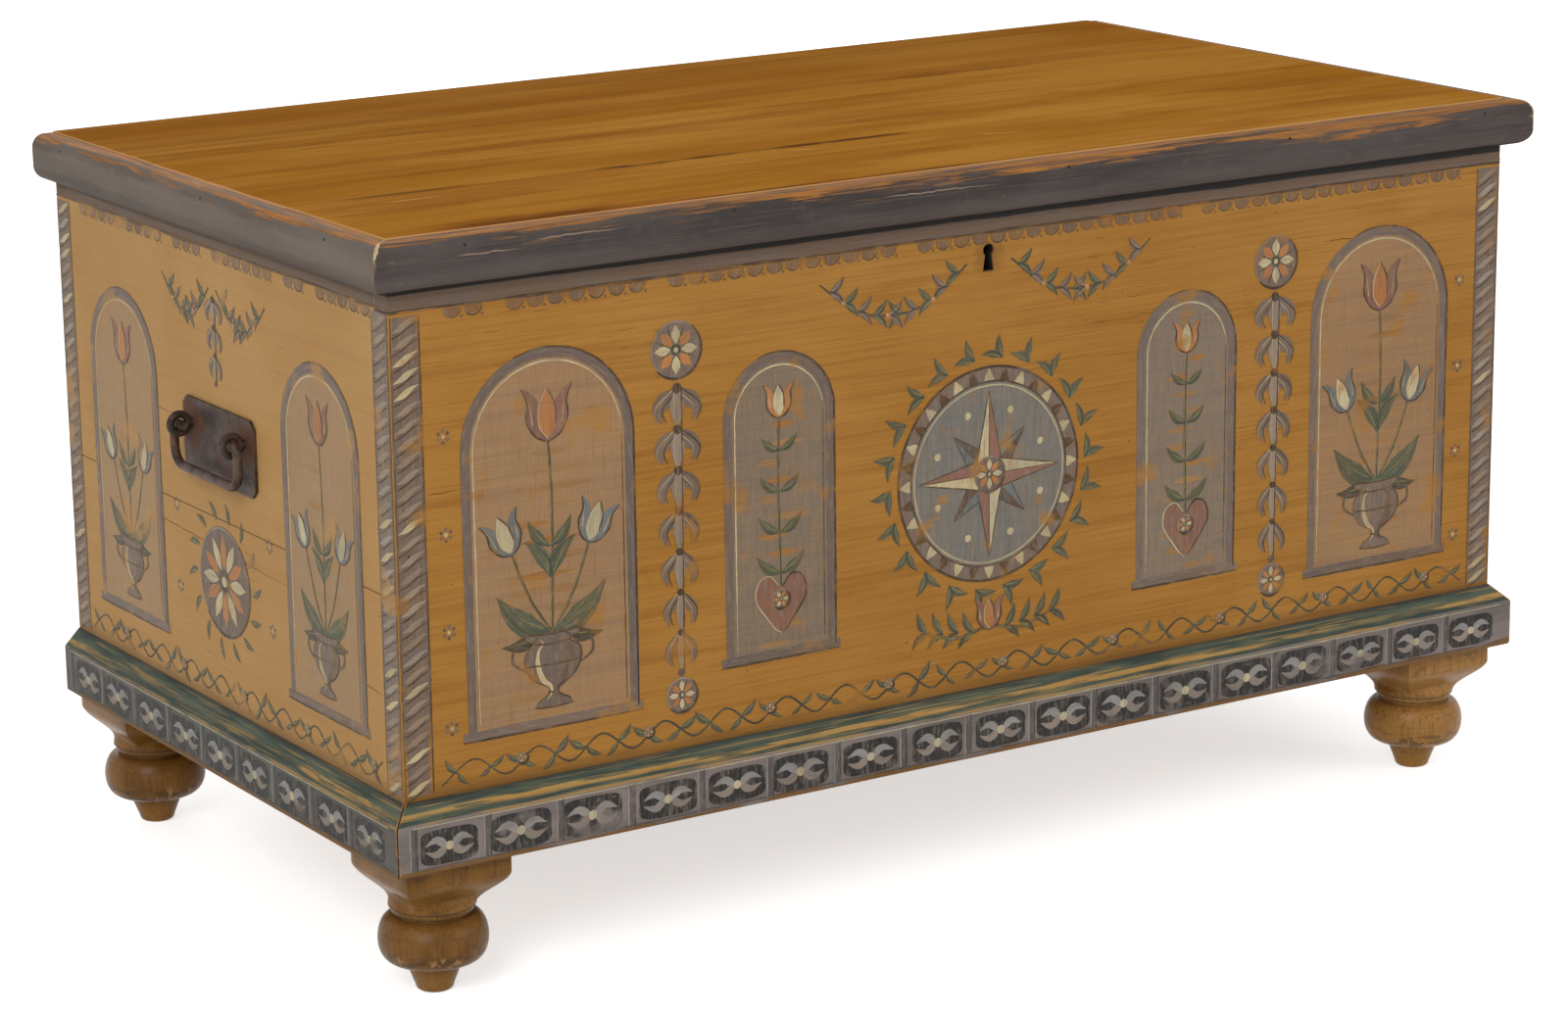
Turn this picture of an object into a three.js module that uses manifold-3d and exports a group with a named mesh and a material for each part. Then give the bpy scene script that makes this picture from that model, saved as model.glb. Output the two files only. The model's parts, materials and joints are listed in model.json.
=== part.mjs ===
// A painted pine blanket chest: a nailed case on turned feet, a hinged lid of three boards with
// a rounded moulding, a mitred plinth, iron bail handles, strap hinges and a sliding-bolt lock.
// Millimetres, +Z up, front towards -Y, origin on the floor under the middle of the whole.
import * as THREE from "three";
import { mergeVertices } from "three/addons/utils/BufferGeometryUtils.js";
import Module from "manifold-3d";

const wasm = await Module();
wasm.setup();

// Case
const caseWidth = 1000;
const caseDepth = 550;
const wallHeight = 428.5;
const wallThickness = 20;
const bottomThickness = 18;
const bottomFrontWidth = 260;
const endLowerHeight = 196;

// Clearances
const jointGap = 0.2;
const boreGap = 0.3;
const lidRunningGap = 1;
const cutOverrun = 5;
const weldDistance = 0.0005;

// Lid
const lidThickness = 22;
const lidFrontWidth = 146;
const lidMiddleWidth = 224;
const mouldingThickness = 17;
const mouldingHeight = 36;
const mouldingTopStep = 1;
const mouldingTopRounding = 10;
const mouldingBottomRounding = 12;
const battenWidth = 50;
const battenThickness = 16;
const battenEndGap = 15;
const battenInset = 300;

// Plinth
const plinthProjection = 13.5;
const plinthFaceHeight = 37;
const plinthSlopeHeight = 13.5;

// Turned foot, from the floor up
const footSquare = 86;
const footInset = 41;
const toeBottomRadius = 14;
const toeTopRadius = 21;
const toeHeight = 22;
const toeRounding = 4;
const ballRadius = 40;
const ballHeight = 36;
const neckRadius = 27;
const neckHeight = 3;
const ringRadius = 30;
const ringHeight = 4;
const bowlRadius = 41;
const bowlHeight = 14;
const shoulderHeight = 10;
const squareHeight = 18;
const tenonRadius = 12.5;
const tenonHeight = 17;

// Handles: an iron plate, two ring eyes with clinched shanks, and a bail
const plateLength = 118;
const plateHeight = 58;
const plateThickness = 2.5;
const plateCornerCut = 6;
const plateMiddleHeight = 254;
const handleForwardOffset = 5;
const eyeSpacing = 88;
const eyeRise = 10;
const eyeWireRadius = 3;
const eyeHoleRadius = 4.2;
const eyeClinchLength = 16;
const bailRodRadius = 3.6;
const bailDrop = 31;
const bailTopBend = 6;
const bailBottomBend = 13;
const bailPinTail = 5;

// Strap hinges
const hingeInset = 160;
const knuckleRadius = 5;
const hingePinRadius = 2.2;
const hingePinGap = 0.05;
const hingePlateThickness = 2.5;
const strapWidth = 26;
const strapLength = 170;
const leafWidth = 56;
const leafHeight = 46;
const knuckleSideGap = 0.4;
const strapScrewShares = [0.25, 0.55, 0.85];
const leafScrewShare = 0.55;

// Screws
const screwHeadRadius = 4;
const screwHeadHeight = 1.6;
const screwShankRadius = 1.8;
const screwLength = 13;
const screwSlotWidth = 0.9;
const screwSlotDepth = 0.7;

// Lock
const keyholeTopRadius = 4.9;
const keyholeWaistWidth = 5.2;
const keyholeFootWidth = 10;
const keyholeDrop = 15.6;
const keyholeDepthBelowRim = 43.4;
const lockPlateThickness = 2;
const lockFoot = 24;
const lockTopGap = 1;
const lockCapWall = 1.5;
const lockCapDeepGap = 1;
const lockCapEndGap = 2;
const boltHeight = 7;
const boltThickness = 5;
const boltGuideGap = 0.3;
const boltTravel = 10;
const boltNose = 2;
const boltTalonWidth = 16;
const boltTalonHeight = 10;
const talonNotchWidth = 8;
const talonNotchHeight = 6;
const guideWidth = 4;
const guideWall = 2.2;
const guideSideGap = 1;
const keyPinRadius = 1.8;
const keyPinHeadRadius = 3.5;
const keyPinHeadHeight = 1;
const stapleLoopThickness = 4;
const stapleLoopGap = 4;
const stapleLoopWall = 2;
const stapleWindowGap = 1;
const staplePlateLength = 46;
const staplePlateWidth = 13;
const staplePlateThickness = 2;
const stapleSlotGap = 1.2;
const lockScrewInset = 7;

// Fineness of round forms
const footSegments = 24;
const curveSteps = 6;
const footRoundingSteps = 3;
const pinSegments = 20;
const rodSides = 8;
const bailSteps = 32;
const ringSegments = 16;
const wireSides = 6;
const boreSegments = 12;
const screwSegments = 8;

// Levels and faces that several pieces share
const footHeight =
  toeHeight + ballHeight + neckHeight + ringHeight + bowlHeight + shoulderHeight + squareHeight;
const caseBottom = footHeight + jointGap;
const rim = caseBottom + wallHeight;
const lidUnderside = rim + jointGap;
const lidTop = lidUnderside + lidThickness;
const halfWidth = caseWidth / 2;
const halfDepth = caseDepth / 2;
const innerHalfWidth = halfWidth - wallThickness;
const innerHalfDepth = halfDepth - wallThickness;
const lidHalfWidth = halfWidth + lidRunningGap;
const lidFront = -halfDepth - lidRunningGap;
const lidRear = halfDepth;
const battenMiddle = halfWidth - battenInset;
const hingeMiddle = halfWidth - hingeInset;
const hingeAxis = new THREE.Vector2(halfDepth + jointGap + knuckleRadius, rim - knuckleRadius);
const eyeRadius = eyeHoleRadius + eyeWireRadius;
const eyeStandOff = jointGap + plateThickness + boreGap + eyeRadius + eyeWireRadius;
const eyeHeight = caseBottom + plateMiddleHeight + eyeRise;
const front = lidFront - mouldingThickness;
const rear = hingeAxis.x + knuckleRadius;
const up = new THREE.Vector3(0, 0, 1);

// Geometry helpers

// A closed geometry as a solid that can be joined and cut.
function solid(geometry) {
  const bare = geometry.index ? geometry.toNonIndexed() : geometry.clone();
  bare.deleteAttribute("normal");
  bare.deleteAttribute("uv");
  const merged = mergeVertices(bare, weldDistance);
  return new wasm.Manifold(
    new wasm.Mesh({
      numProp: 3,
      vertProperties: merged.attributes.position.array,
      triVerts: new Uint32Array(merged.index.array),
    }),
  );
}

// A solid's surface as a geometry with flat-shaded normals.
function surface(body) {
  const mesh = body.getMesh();
  const geometry = new THREE.BufferGeometry();
  geometry.setAttribute("position", new THREE.Float32BufferAttribute(mesh.vertProperties, 3));
  geometry.setIndex(new THREE.Uint32BufferAttribute(mesh.triVerts, 1));
  const faceted = geometry.toNonIndexed();
  faceted.computeVertexNormals();
  return faceted;
}

// A block between two limits along each axis.
function block([x0, x1], [y0, y1], [z0, z1]) {
  const geometry = new THREE.BoxGeometry(x1 - x0, y1 - y0, z1 - z0);
  return solid(geometry.translate((x0 + x1) / 2, (y0 + y1) / 2, (z0 + z1) / 2));
}

// A round rod from one point to another.
function rod(from, to, radius, segments) {
  const run = to.clone().sub(from);
  const geometry = new THREE.CylinderGeometry(radius, radius, run.length(), segments);
  const turn = new THREE.Quaternion().setFromUnitVectors(
    new THREE.Vector3(0, 1, 0),
    run.clone().normalize(),
  );
  geometry.applyQuaternion(turn);
  const middle = from.clone().add(to).divideScalar(2);
  return solid(geometry.translate(middle.x, middle.y, middle.z));
}

// A flat shape pushed through a length, with its x along outward, its y upward and its run
// centred on a point.
function profileRun(shape, outward, length, centre) {
  const geometry = new THREE.ExtrudeGeometry(shape, {
    depth: length,
    bevelEnabled: false,
    curveSegments: curveSteps,
  });
  geometry.translate(0, 0, -length / 2);
  const along = outward.clone().cross(up);
  const place = new THREE.Matrix4().makeBasis(outward, up, along).setPosition(centre);
  return solid(geometry.applyMatrix4(place));
}

// A plan outline raised between two heights.
function planPrism(points, z0, z1) {
  const outline = new THREE.Shape(points.map(([x, y]) => new THREE.Vector2(x, y)));
  const geometry = new THREE.ExtrudeGeometry(outline, { depth: z1 - z0, bevelEnabled: false });
  return solid(geometry.translate(0, 0, z0));
}

// A profile of (radius, height) pairs turned about an upright axis.
function turned(profile, segments, x, y) {
  const points = profile.map(([radius, height]) => new THREE.Vector2(radius, height));
  const geometry = new THREE.LatheGeometry(points, segments);
  return solid(geometry.rotateX(Math.PI / 2).translate(x, y, 0));
}

function cutAll(body, cutters) {
  return cutters.reduce((rest, cutter) => rest.subtract(cutter), body);
}

// Materials

function finish(color, roughness, metalness) {
  return { color, roughness, metalness };
}

const finishes = {
  paintedPine: finish(0xb98032, 0.6, 0),
  paintedEnd: finish(0xbe9155, 0.6, 0),
  barePine: finish(0xb98f58, 0.75, 0),
  lidPine: finish(0x965f1e, 0.45, 0),
  mauvePaint: finish(0x6e6668, 0.6, 0),
  plinthPaint: finish(0x64645f, 0.6, 0),
  footPine: finish(0x8f6635, 0.5, 0),
  iron: finish(0x4b3c37, 0.6, 0.6),
};

const chest = new THREE.Group();
const centred = new THREE.Group();
centred.position.set(0, -(front + rear) / 2, 0);
chest.add(centred);

function add(name, body, look) {
  const mesh = new THREE.Mesh(surface(body), new THREE.MeshStandardMaterial(finishes[look]));
  mesh.name = name;
  centred.add(mesh);
}

const sides = [
  { name: "left", sign: -1 },
  { name: "right", sign: 1 },
];
const depths = [
  { name: "front", sign: -1 },
  { name: "rear", sign: 1 },
];

// Screws: the head lies on the face at `at`, and the shank runs along `into`.

function screwPlace(at, into) {
  const turn = new THREE.Quaternion().setFromUnitVectors(up, into.clone().negate());
  return new THREE.Matrix4().compose(at, turn, new THREE.Vector3(1, 1, 1));
}

function screw(at, into) {
  const profile = [
    [0, -screwLength],
    [screwShankRadius, -screwLength],
    [screwShankRadius, 0],
    [screwHeadRadius, 0],
    [screwHeadRadius, screwHeadHeight / 2],
    [screwHeadRadius / 2, screwHeadHeight],
    [0, screwHeadHeight],
  ];
  const body = turned(profile, screwSegments, 0, 0);
  const slot = block(
    [-screwHeadRadius - cutOverrun, screwHeadRadius + cutOverrun],
    [-screwSlotWidth / 2, screwSlotWidth / 2],
    [screwHeadHeight - screwSlotDepth, screwHeadHeight + cutOverrun],
  );
  const elements = screwPlace(at.clone().addScaledVector(into, -jointGap), into).elements;
  return body.subtract(slot).transform(elements);
}

function screwBore(at, into) {
  const start = at.clone().addScaledVector(into, -cutOverrun);
  const end = at.clone().addScaledVector(into, screwLength + boreGap);
  return rod(start, end, screwShankRadius + boreGap, screwSegments);
}

// Lock places

const keyholeHeight = rim - keyholeDepthBelowRim;
const lockPlateFront = -innerHalfDepth + jointGap;
const lockPlateBack = lockPlateFront + lockPlateThickness;
const lockBottom = keyholeHeight - lockFoot;
const lockTop = rim - staplePlateThickness - screwHeadHeight - lockTopGap;
const stapleDepth = boltThickness + 2 * (stapleWindowGap + stapleLoopWall);
const lockCapFront = lockPlateBack + jointGap;
const boltMiddle = lockCapFront + stapleSlotGap + stapleDepth / 2;
const lockCapBack = boltMiddle + stapleDepth / 2 + stapleSlotGap + lockCapDeepGap + lockCapWall;
const boltTop = lockTop - lockPlateThickness - stapleLoopGap;
const boltBottom = boltTop - boltHeight;
const guideInner = (boltTravel + boltTalonWidth) / 2 + guideSideGap;
const guideOuter = guideInner + guideWidth;
const boltStart = -guideOuter - boltTravel - guideSideGap;
const boltEnd = guideOuter + boltNose;
const stapleLow = boltEnd + stapleLoopGap;
const stapleHigh = stapleLow + stapleLoopThickness;
const lockCapHalf = boltEnd + boltTravel + lockCapEndGap + lockCapWall;
const lockScrewX = lockCapHalf + lockScrewInset;
const lockPlateHalf = lockScrewX + lockScrewInset;

function lockScrewPlaces() {
  const heights = [lockBottom + lockScrewInset, lockTop - lockPlateThickness - lockScrewInset];
  return sides.flatMap(({ sign }) =>
    heights.map((z) => new THREE.Vector3(sign * lockScrewX, lockPlateBack, z)),
  );
}

function stapleScrewPlaces() {
  const middle = (stapleLow + stapleHigh) / 2;
  const offset = staplePlateLength / 2 - lockScrewInset;
  const z = lidUnderside - jointGap - staplePlateThickness;
  return sides.map(({ sign }) => new THREE.Vector3(middle + sign * offset, boltMiddle, z));
}

// A keyhole: a round top over a slot that widens to its foot, cut along the depth.
function keyholeCutter(y0, y1) {
  const top = rod(
    new THREE.Vector3(0, y0, keyholeHeight),
    new THREE.Vector3(0, y1, keyholeHeight),
    keyholeTopRadius,
    boreSegments,
  );
  const slot = new THREE.Shape([
    new THREE.Vector2(-keyholeFootWidth / 2, -keyholeDrop),
    new THREE.Vector2(keyholeFootWidth / 2, -keyholeDrop),
    new THREE.Vector2(keyholeWaistWidth / 2, 0),
    new THREE.Vector2(-keyholeWaistWidth / 2, 0),
  ]);
  const centre = new THREE.Vector3(0, (y0 + y1) / 2, keyholeHeight);
  return top.add(profileRun(slot, new THREE.Vector3(1, 0, 0), y1 - y0, centre));
}

// Handle places

function eyePlaces(sign) {
  return depths.map(({ name, sign: towards }) => ({
    name,
    y: (towards * eyeSpacing) / 2 - handleForwardOffset,
    x: sign * (halfWidth + eyeStandOff),
  }));
}

function eyeBores(sign) {
  return eyePlaces(sign).map(({ y }) =>
    rod(
      new THREE.Vector3(sign * (innerHalfWidth - cutOverrun), y, eyeHeight),
      new THREE.Vector3(sign * (halfWidth + eyeStandOff), y, eyeHeight),
      eyeWireRadius + boreGap,
      boreSegments,
    ),
  );
}

// Hinge places

function leafScrewPlaces(sign) {
  const y = halfDepth + jointGap + hingePlateThickness;
  const z = hingeAxis.y - leafHeight * leafScrewShare;
  return sides.map(
    ({ sign: across }) =>
      new THREE.Vector3(sign * hingeMiddle + (across * leafWidth) / 4, y, z),
  );
}

function strapScrewPlaces(sign) {
  const z = rim - hingePlateThickness;
  return strapScrewShares.map(
    (share) => new THREE.Vector3(sign * hingeMiddle, halfDepth - strapLength * share, z),
  );
}

const forward = new THREE.Vector3(0, -1, 0);
const caseBores = [
  ...lockScrewPlaces().map((at) => screwBore(at, forward)),
  ...sides.flatMap(({ sign }) => leafScrewPlaces(sign).map((at) => screwBore(at, forward))),
];
const lidBores = [
  ...sides.flatMap(({ sign }) => strapScrewPlaces(sign).map((at) => screwBore(at, up))),
  ...stapleScrewPlaces().map((at) => screwBore(at, up)),
];

// Case

function strapNotch(sign) {
  const x = sign * hingeMiddle;
  const half = strapWidth / 2 + boreGap;
  return block(
    [x - half, x + half],
    [innerHalfDepth - cutOverrun, halfDepth + cutOverrun],
    [rim - hingePlateThickness - boreGap, rim + cutOverrun],
  );
}

function addWalls() {
  const frontBoard = block([-halfWidth, halfWidth], [-halfDepth, -innerHalfDepth], [caseBottom, rim]);
  const keyhole = keyholeCutter(-halfDepth - cutOverrun, -innerHalfDepth + cutOverrun);
  add("front_board", cutAll(frontBoard, [keyhole, ...caseBores]), "paintedPine");
  const backBoard = block([-halfWidth, halfWidth], [innerHalfDepth, halfDepth], [caseBottom, rim]);
  const notches = sides.map(({ sign }) => strapNotch(sign));
  add("back_board", cutAll(backBoard, [...notches, ...caseBores]), "barePine");
  for (const { name, sign } of sides) {
    const x = [sign * innerHalfWidth, sign * halfWidth].sort((a, b) => a - b);
    const y = [-innerHalfDepth + jointGap, innerHalfDepth - jointGap];
    const seam = caseBottom + endLowerHeight;
    const bores = eyeBores(sign);
    add(`${name}_end_lower_board`, cutAll(block(x, y, [caseBottom, seam]), bores), "paintedEnd");
    add(`${name}_end_upper_board`, cutAll(block(x, y, [seam + jointGap, rim]), bores), "paintedEnd");
  }
}

function footCentre(across, deep) {
  return [across * (halfWidth - footInset), deep * (halfDepth - footInset)];
}

function addBottom() {
  const x = [-innerHalfWidth + jointGap, innerHalfWidth - jointGap];
  const z = [caseBottom, caseBottom + bottomThickness];
  const frontEdge = -innerHalfDepth + jointGap;
  const seam = frontEdge + bottomFrontWidth;
  const tenonHoles = sides.flatMap(({ sign: across }) =>
    depths.map(({ sign: deep }) => {
      const [footX, footY] = footCentre(across, deep);
      return rod(
        new THREE.Vector3(footX, footY, z[0] - cutOverrun),
        new THREE.Vector3(footX, footY, z[1] + cutOverrun),
        tenonRadius + boreGap,
        boreSegments,
      );
    }),
  );
  add("bottom_front_board", cutAll(block(x, [frontEdge, seam], z), tenonHoles), "barePine");
  const rearRange = [seam + jointGap, innerHalfDepth - jointGap];
  add("bottom_rear_board", cutAll(block(x, rearRange, z), tenonHoles), "barePine");
}

// Strips that wrap the front and both ends, mitred at the front corners.

function wrapPlan(side, inner, outer, faceFront, rearEnd) {
  const reach = inner.depth + outer - inner.half;
  const mitre = jointGap / 2;
  if (side === "front") {
    return [
      [-inner.half + mitre, faceFront],
      [-outer + mitre, -reach],
      [outer - mitre, -reach],
      [inner.half - mitre, faceFront],
    ];
  }
  const sign = side === "left" ? -1 : 1;
  const plan = [
    [sign * inner.half, faceFront + mitre],
    [sign * outer, -reach + mitre],
    [sign * outer, rearEnd],
    [sign * inner.half, rearEnd],
  ];
  return sign < 0 ? plan.reverse() : plan;
}

function addWrap(prefix, shape, z0, z1, inner, thickness, rearEnd, look) {
  const outer = inner.half + thickness;
  const endLength = 2 * (inner.depth + thickness);
  const runs = [
    ["front", new THREE.Vector3(0, -1, 0), 2 * outer, new THREE.Vector3(0, -inner.depth, z0)],
    ["left", new THREE.Vector3(-1, 0, 0), endLength, new THREE.Vector3(-inner.half, 0, z0)],
    ["right", new THREE.Vector3(1, 0, 0), endLength, new THREE.Vector3(inner.half, 0, z0)],
  ];
  for (const [side, outward, length, centre] of runs) {
    const strip = profileRun(shape, outward, length, centre);
    const plan = wrapPlan(side, inner, outer, -inner.depth, rearEnd);
    const trim = planPrism(plan, z0 - cutOverrun, z1 + cutOverrun);
    add(`${prefix}_${side}`, strip.intersect(trim), look);
  }
}

function addPlinth() {
  const shape = new THREE.Shape([
    new THREE.Vector2(0, 0),
    new THREE.Vector2(plinthProjection, 0),
    new THREE.Vector2(plinthProjection, plinthFaceHeight),
    new THREE.Vector2(0, plinthFaceHeight + plinthSlopeHeight),
  ]);
  const inner = { half: halfWidth + jointGap, depth: halfDepth + jointGap };
  const top = caseBottom + plinthFaceHeight + plinthSlopeHeight;
  addWrap("plinth", shape, caseBottom, top, inner, plinthProjection, halfDepth, "plinthPaint");
}

// Feet

// The arc of a quarter turn, as pairs of shares that rise from (0, 0) to (1, 1).
function quarter(steps, bend) {
  return Array.from({ length: steps + 1 }, (_, i) => {
    const angle = (Math.PI / 2) * (i / steps);
    return bend === "out" ? [Math.sin(angle), 1 - Math.cos(angle)] : [1 - Math.cos(angle), Math.sin(angle)];
  });
}

function footProfile() {
  const cornerRadius = footSquare / Math.SQRT2 + cutOverrun;
  const points = [[0, 0]];
  const toeFlat = toeBottomRadius - toeRounding;
  for (const [out, rise] of quarter(footRoundingSteps, "out")) {
    points.push([toeFlat + toeRounding * out, toeRounding * rise]);
  }
  let level = toeHeight;
  for (let i = 0; i <= 2 * curveSteps; i++) {
    const angle = Math.PI * (i / (2 * curveSteps) - 1 / 2);
    const waist = toeTopRadius + ((neckRadius - toeTopRadius) * i) / (2 * curveSteps);
    const swell = Math.cos(angle) ** (2 / 3);
    const height = level + (ballHeight / 2) * (1 + Math.sin(angle));
    points.push([waist + (ballRadius - waist) * swell, height]);
  }
  level += ballHeight + neckHeight;
  points.push([neckRadius, level], [ringRadius, level], [ringRadius, level + ringHeight]);
  level += ringHeight;
  for (const [out, rise] of quarter(footRoundingSteps, "out").slice(1)) {
    points.push([ringRadius + (bowlRadius - ringRadius) * out, level + bowlHeight * rise]);
  }
  level += bowlHeight;
  for (const [out, rise] of quarter(footRoundingSteps, "out").slice(1)) {
    points.push([bowlRadius + (cornerRadius - bowlRadius) * out, level + shoulderHeight * rise]);
  }
  points.push([cornerRadius, footHeight], [0, footHeight]);
  return points;
}

function addFeet() {
  const profile = footProfile();
  for (const { name: across, sign: acrossSign } of sides) {
    for (const { name: deep, sign: deepSign } of depths) {
      const [x, y] = footCentre(acrossSign, deepSign);
      const half = footSquare / 2;
      const blank = block([x - half, x + half], [y - half, y + half], [-cutOverrun, footHeight]);
      const tenon = rod(
        new THREE.Vector3(x, y, footHeight - squareHeight),
        new THREE.Vector3(x, y, footHeight + tenonHeight),
        tenonRadius,
        boreSegments,
      );
      const foot = turned(profile, footSegments, x, y).intersect(blank).add(tenon);
      add(`foot_${deep}_${across}`, foot, "footPine");
    }
  }
}

// Lid

function addLid() {
  const x = [-lidHalfWidth + jointGap, lidHalfWidth - jointGap];
  const z = [lidUnderside, lidTop];
  const frontEdge = lidFront + jointGap;
  const seams = [frontEdge, frontEdge + lidFrontWidth, frontEdge + lidFrontWidth + lidMiddleWidth];
  const boards = [
    ["lid_front_board", seams[0], seams[1]],
    ["lid_middle_board", seams[1] + jointGap, seams[2]],
    ["lid_rear_board", seams[2] + jointGap, lidRear],
  ];
  for (const [name, y0, y1] of boards) {
    add(name, cutAll(block(x, [y0, y1], z), lidBores), "lidPine");
  }
  for (const { name, sign } of sides) {
    const middle = sign * battenMiddle;
    const batten = block(
      [middle - battenWidth / 2, middle + battenWidth / 2],
      [-innerHalfDepth + battenEndGap, innerHalfDepth - battenEndGap],
      [lidUnderside - jointGap - battenThickness, lidUnderside - jointGap],
    );
    add(`lid_batten_${name}`, batten, "barePine");
  }
}

function addMoulding() {
  const shape = new THREE.Shape();
  const low = mouldingBottomRounding;
  const high = mouldingTopRounding;
  shape.moveTo(0, 0);
  shape.lineTo(mouldingThickness - low, 0);
  shape.absarc(mouldingThickness - low, low, low, -Math.PI / 2, 0, false);
  shape.lineTo(mouldingThickness, mouldingHeight - high);
  shape.absarc(mouldingThickness - high, mouldingHeight - high, high, 0, Math.PI / 2, false);
  shape.lineTo(0, mouldingHeight);
  shape.closePath();
  const inner = { half: lidHalfWidth, depth: -lidFront };
  const top = lidTop - mouldingTopStep;
  const bottom = top - mouldingHeight;
  addWrap("lid_moulding", shape, bottom, top, inner, mouldingThickness, lidRear, "mauvePaint");
}

// Handles

function addHandlePlate(name, sign) {
  const half = plateLength / 2;
  const tall = plateHeight / 2;
  const outline = [
    [half - plateCornerCut, -tall],
    [half, -tall + plateCornerCut],
    [half, tall - plateCornerCut],
    [half - plateCornerCut, tall],
    [-half + plateCornerCut, tall],
    [-half, tall - plateCornerCut],
    [-half, -tall + plateCornerCut],
    [-half + plateCornerCut, -tall],
  ];
  const shape = new THREE.Shape(outline.map(([u, v]) => new THREE.Vector2(u, v)));
  const x = sign * (halfWidth + jointGap + plateThickness / 2);
  const centre = new THREE.Vector3(x, -handleForwardOffset, caseBottom + plateMiddleHeight);
  const plate = profileRun(shape, new THREE.Vector3(0, 1, 0), plateThickness, centre);
  add(`handle_plate_${name}`, cutAll(plate, eyeBores(sign)), "iron");
}

function addEyes(name, sign) {
  for (const { name: deep, x, y } of eyePlaces(sign)) {
    const ringGeometry = new THREE.TorusGeometry(eyeRadius, eyeWireRadius, wireSides, ringSegments);
    const ring = solid(ringGeometry.rotateX(Math.PI / 2).translate(x, y, eyeHeight));
    const tail = innerHalfWidth - boreGap - eyeWireRadius;
    const shank = rod(
      new THREE.Vector3(x - sign * eyeRadius, y, eyeHeight),
      new THREE.Vector3(sign * (tail - eyeWireRadius), y, eyeHeight),
      eyeWireRadius,
      boreSegments,
    );
    const clinch = rod(
      new THREE.Vector3(sign * tail, y, eyeHeight),
      new THREE.Vector3(sign * tail, y, eyeHeight - eyeClinchLength),
      eyeWireRadius,
      boreSegments,
    );
    add(`handle_eye_${name}_${deep}`, ring.add(shank).add(clinch), "iron");
  }
}

// The bail's centre line: in through one eye, down, across, up and out through the other.
function bailPath(x) {
  const outerHalf = eyeSpacing / 2 + eyeWireRadius + boreGap + bailTopBend;
  const pinHalf = eyeSpacing / 2 - eyeWireRadius - bailPinTail;
  const at = (u, v) => new THREE.Vector3(x, u - handleForwardOffset, eyeHeight + v);
  const path = new THREE.CurvePath();
  const bend = (cu, cv, radius, from, to) => {
    const arc = new THREE.Curve();
    arc.getPoint = (t) => {
      const angle = from + (to - from) * t;
      return at(cu + radius * Math.cos(angle), cv + radius * Math.sin(angle));
    };
    return arc;
  };
  const topTurn = outerHalf - bailTopBend;
  const lowTurn = outerHalf - bailBottomBend;
  const lowLevel = -bailDrop + bailBottomBend;
  path.add(new THREE.LineCurve3(at(-pinHalf, 0), at(-topTurn, 0)));
  path.add(bend(-topTurn, -bailTopBend, bailTopBend, Math.PI / 2, Math.PI));
  path.add(new THREE.LineCurve3(at(-outerHalf, -bailTopBend), at(-outerHalf, lowLevel)));
  path.add(bend(-lowTurn, lowLevel, bailBottomBend, Math.PI, (3 * Math.PI) / 2));
  path.add(new THREE.LineCurve3(at(-lowTurn, -bailDrop), at(lowTurn, -bailDrop)));
  path.add(bend(lowTurn, lowLevel, bailBottomBend, -Math.PI / 2, 0));
  path.add(new THREE.LineCurve3(at(outerHalf, lowLevel), at(outerHalf, -bailTopBend)));
  path.add(bend(topTurn, -bailTopBend, bailTopBend, 0, Math.PI / 2));
  path.add(new THREE.LineCurve3(at(topTurn, 0), at(pinHalf, 0)));
  return path;
}

function addBail(name, sign) {
  const section = new THREE.Shape();
  for (let i = 0; i <= rodSides; i++) {
    const angle = (2 * Math.PI * i) / rodSides;
    const point = [bailRodRadius * Math.cos(angle), bailRodRadius * Math.sin(angle)];
    if (i === 0) section.moveTo(...point);
    else if (i < rodSides) section.lineTo(...point);
  }
  section.closePath();
  const geometry = new THREE.ExtrudeGeometry(section, {
    steps: bailSteps,
    extrudePath: bailPath(sign * (halfWidth + eyeStandOff)),
  });
  add(`bail_${name}`, solid(geometry), "iron");
}

// Hinges

function knuckle(x0, x1, radius) {
  return rod(
    new THREE.Vector3(x0, hingeAxis.x, hingeAxis.y),
    new THREE.Vector3(x1, hingeAxis.x, hingeAxis.y),
    radius,
    pinSegments,
  );
}

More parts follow.
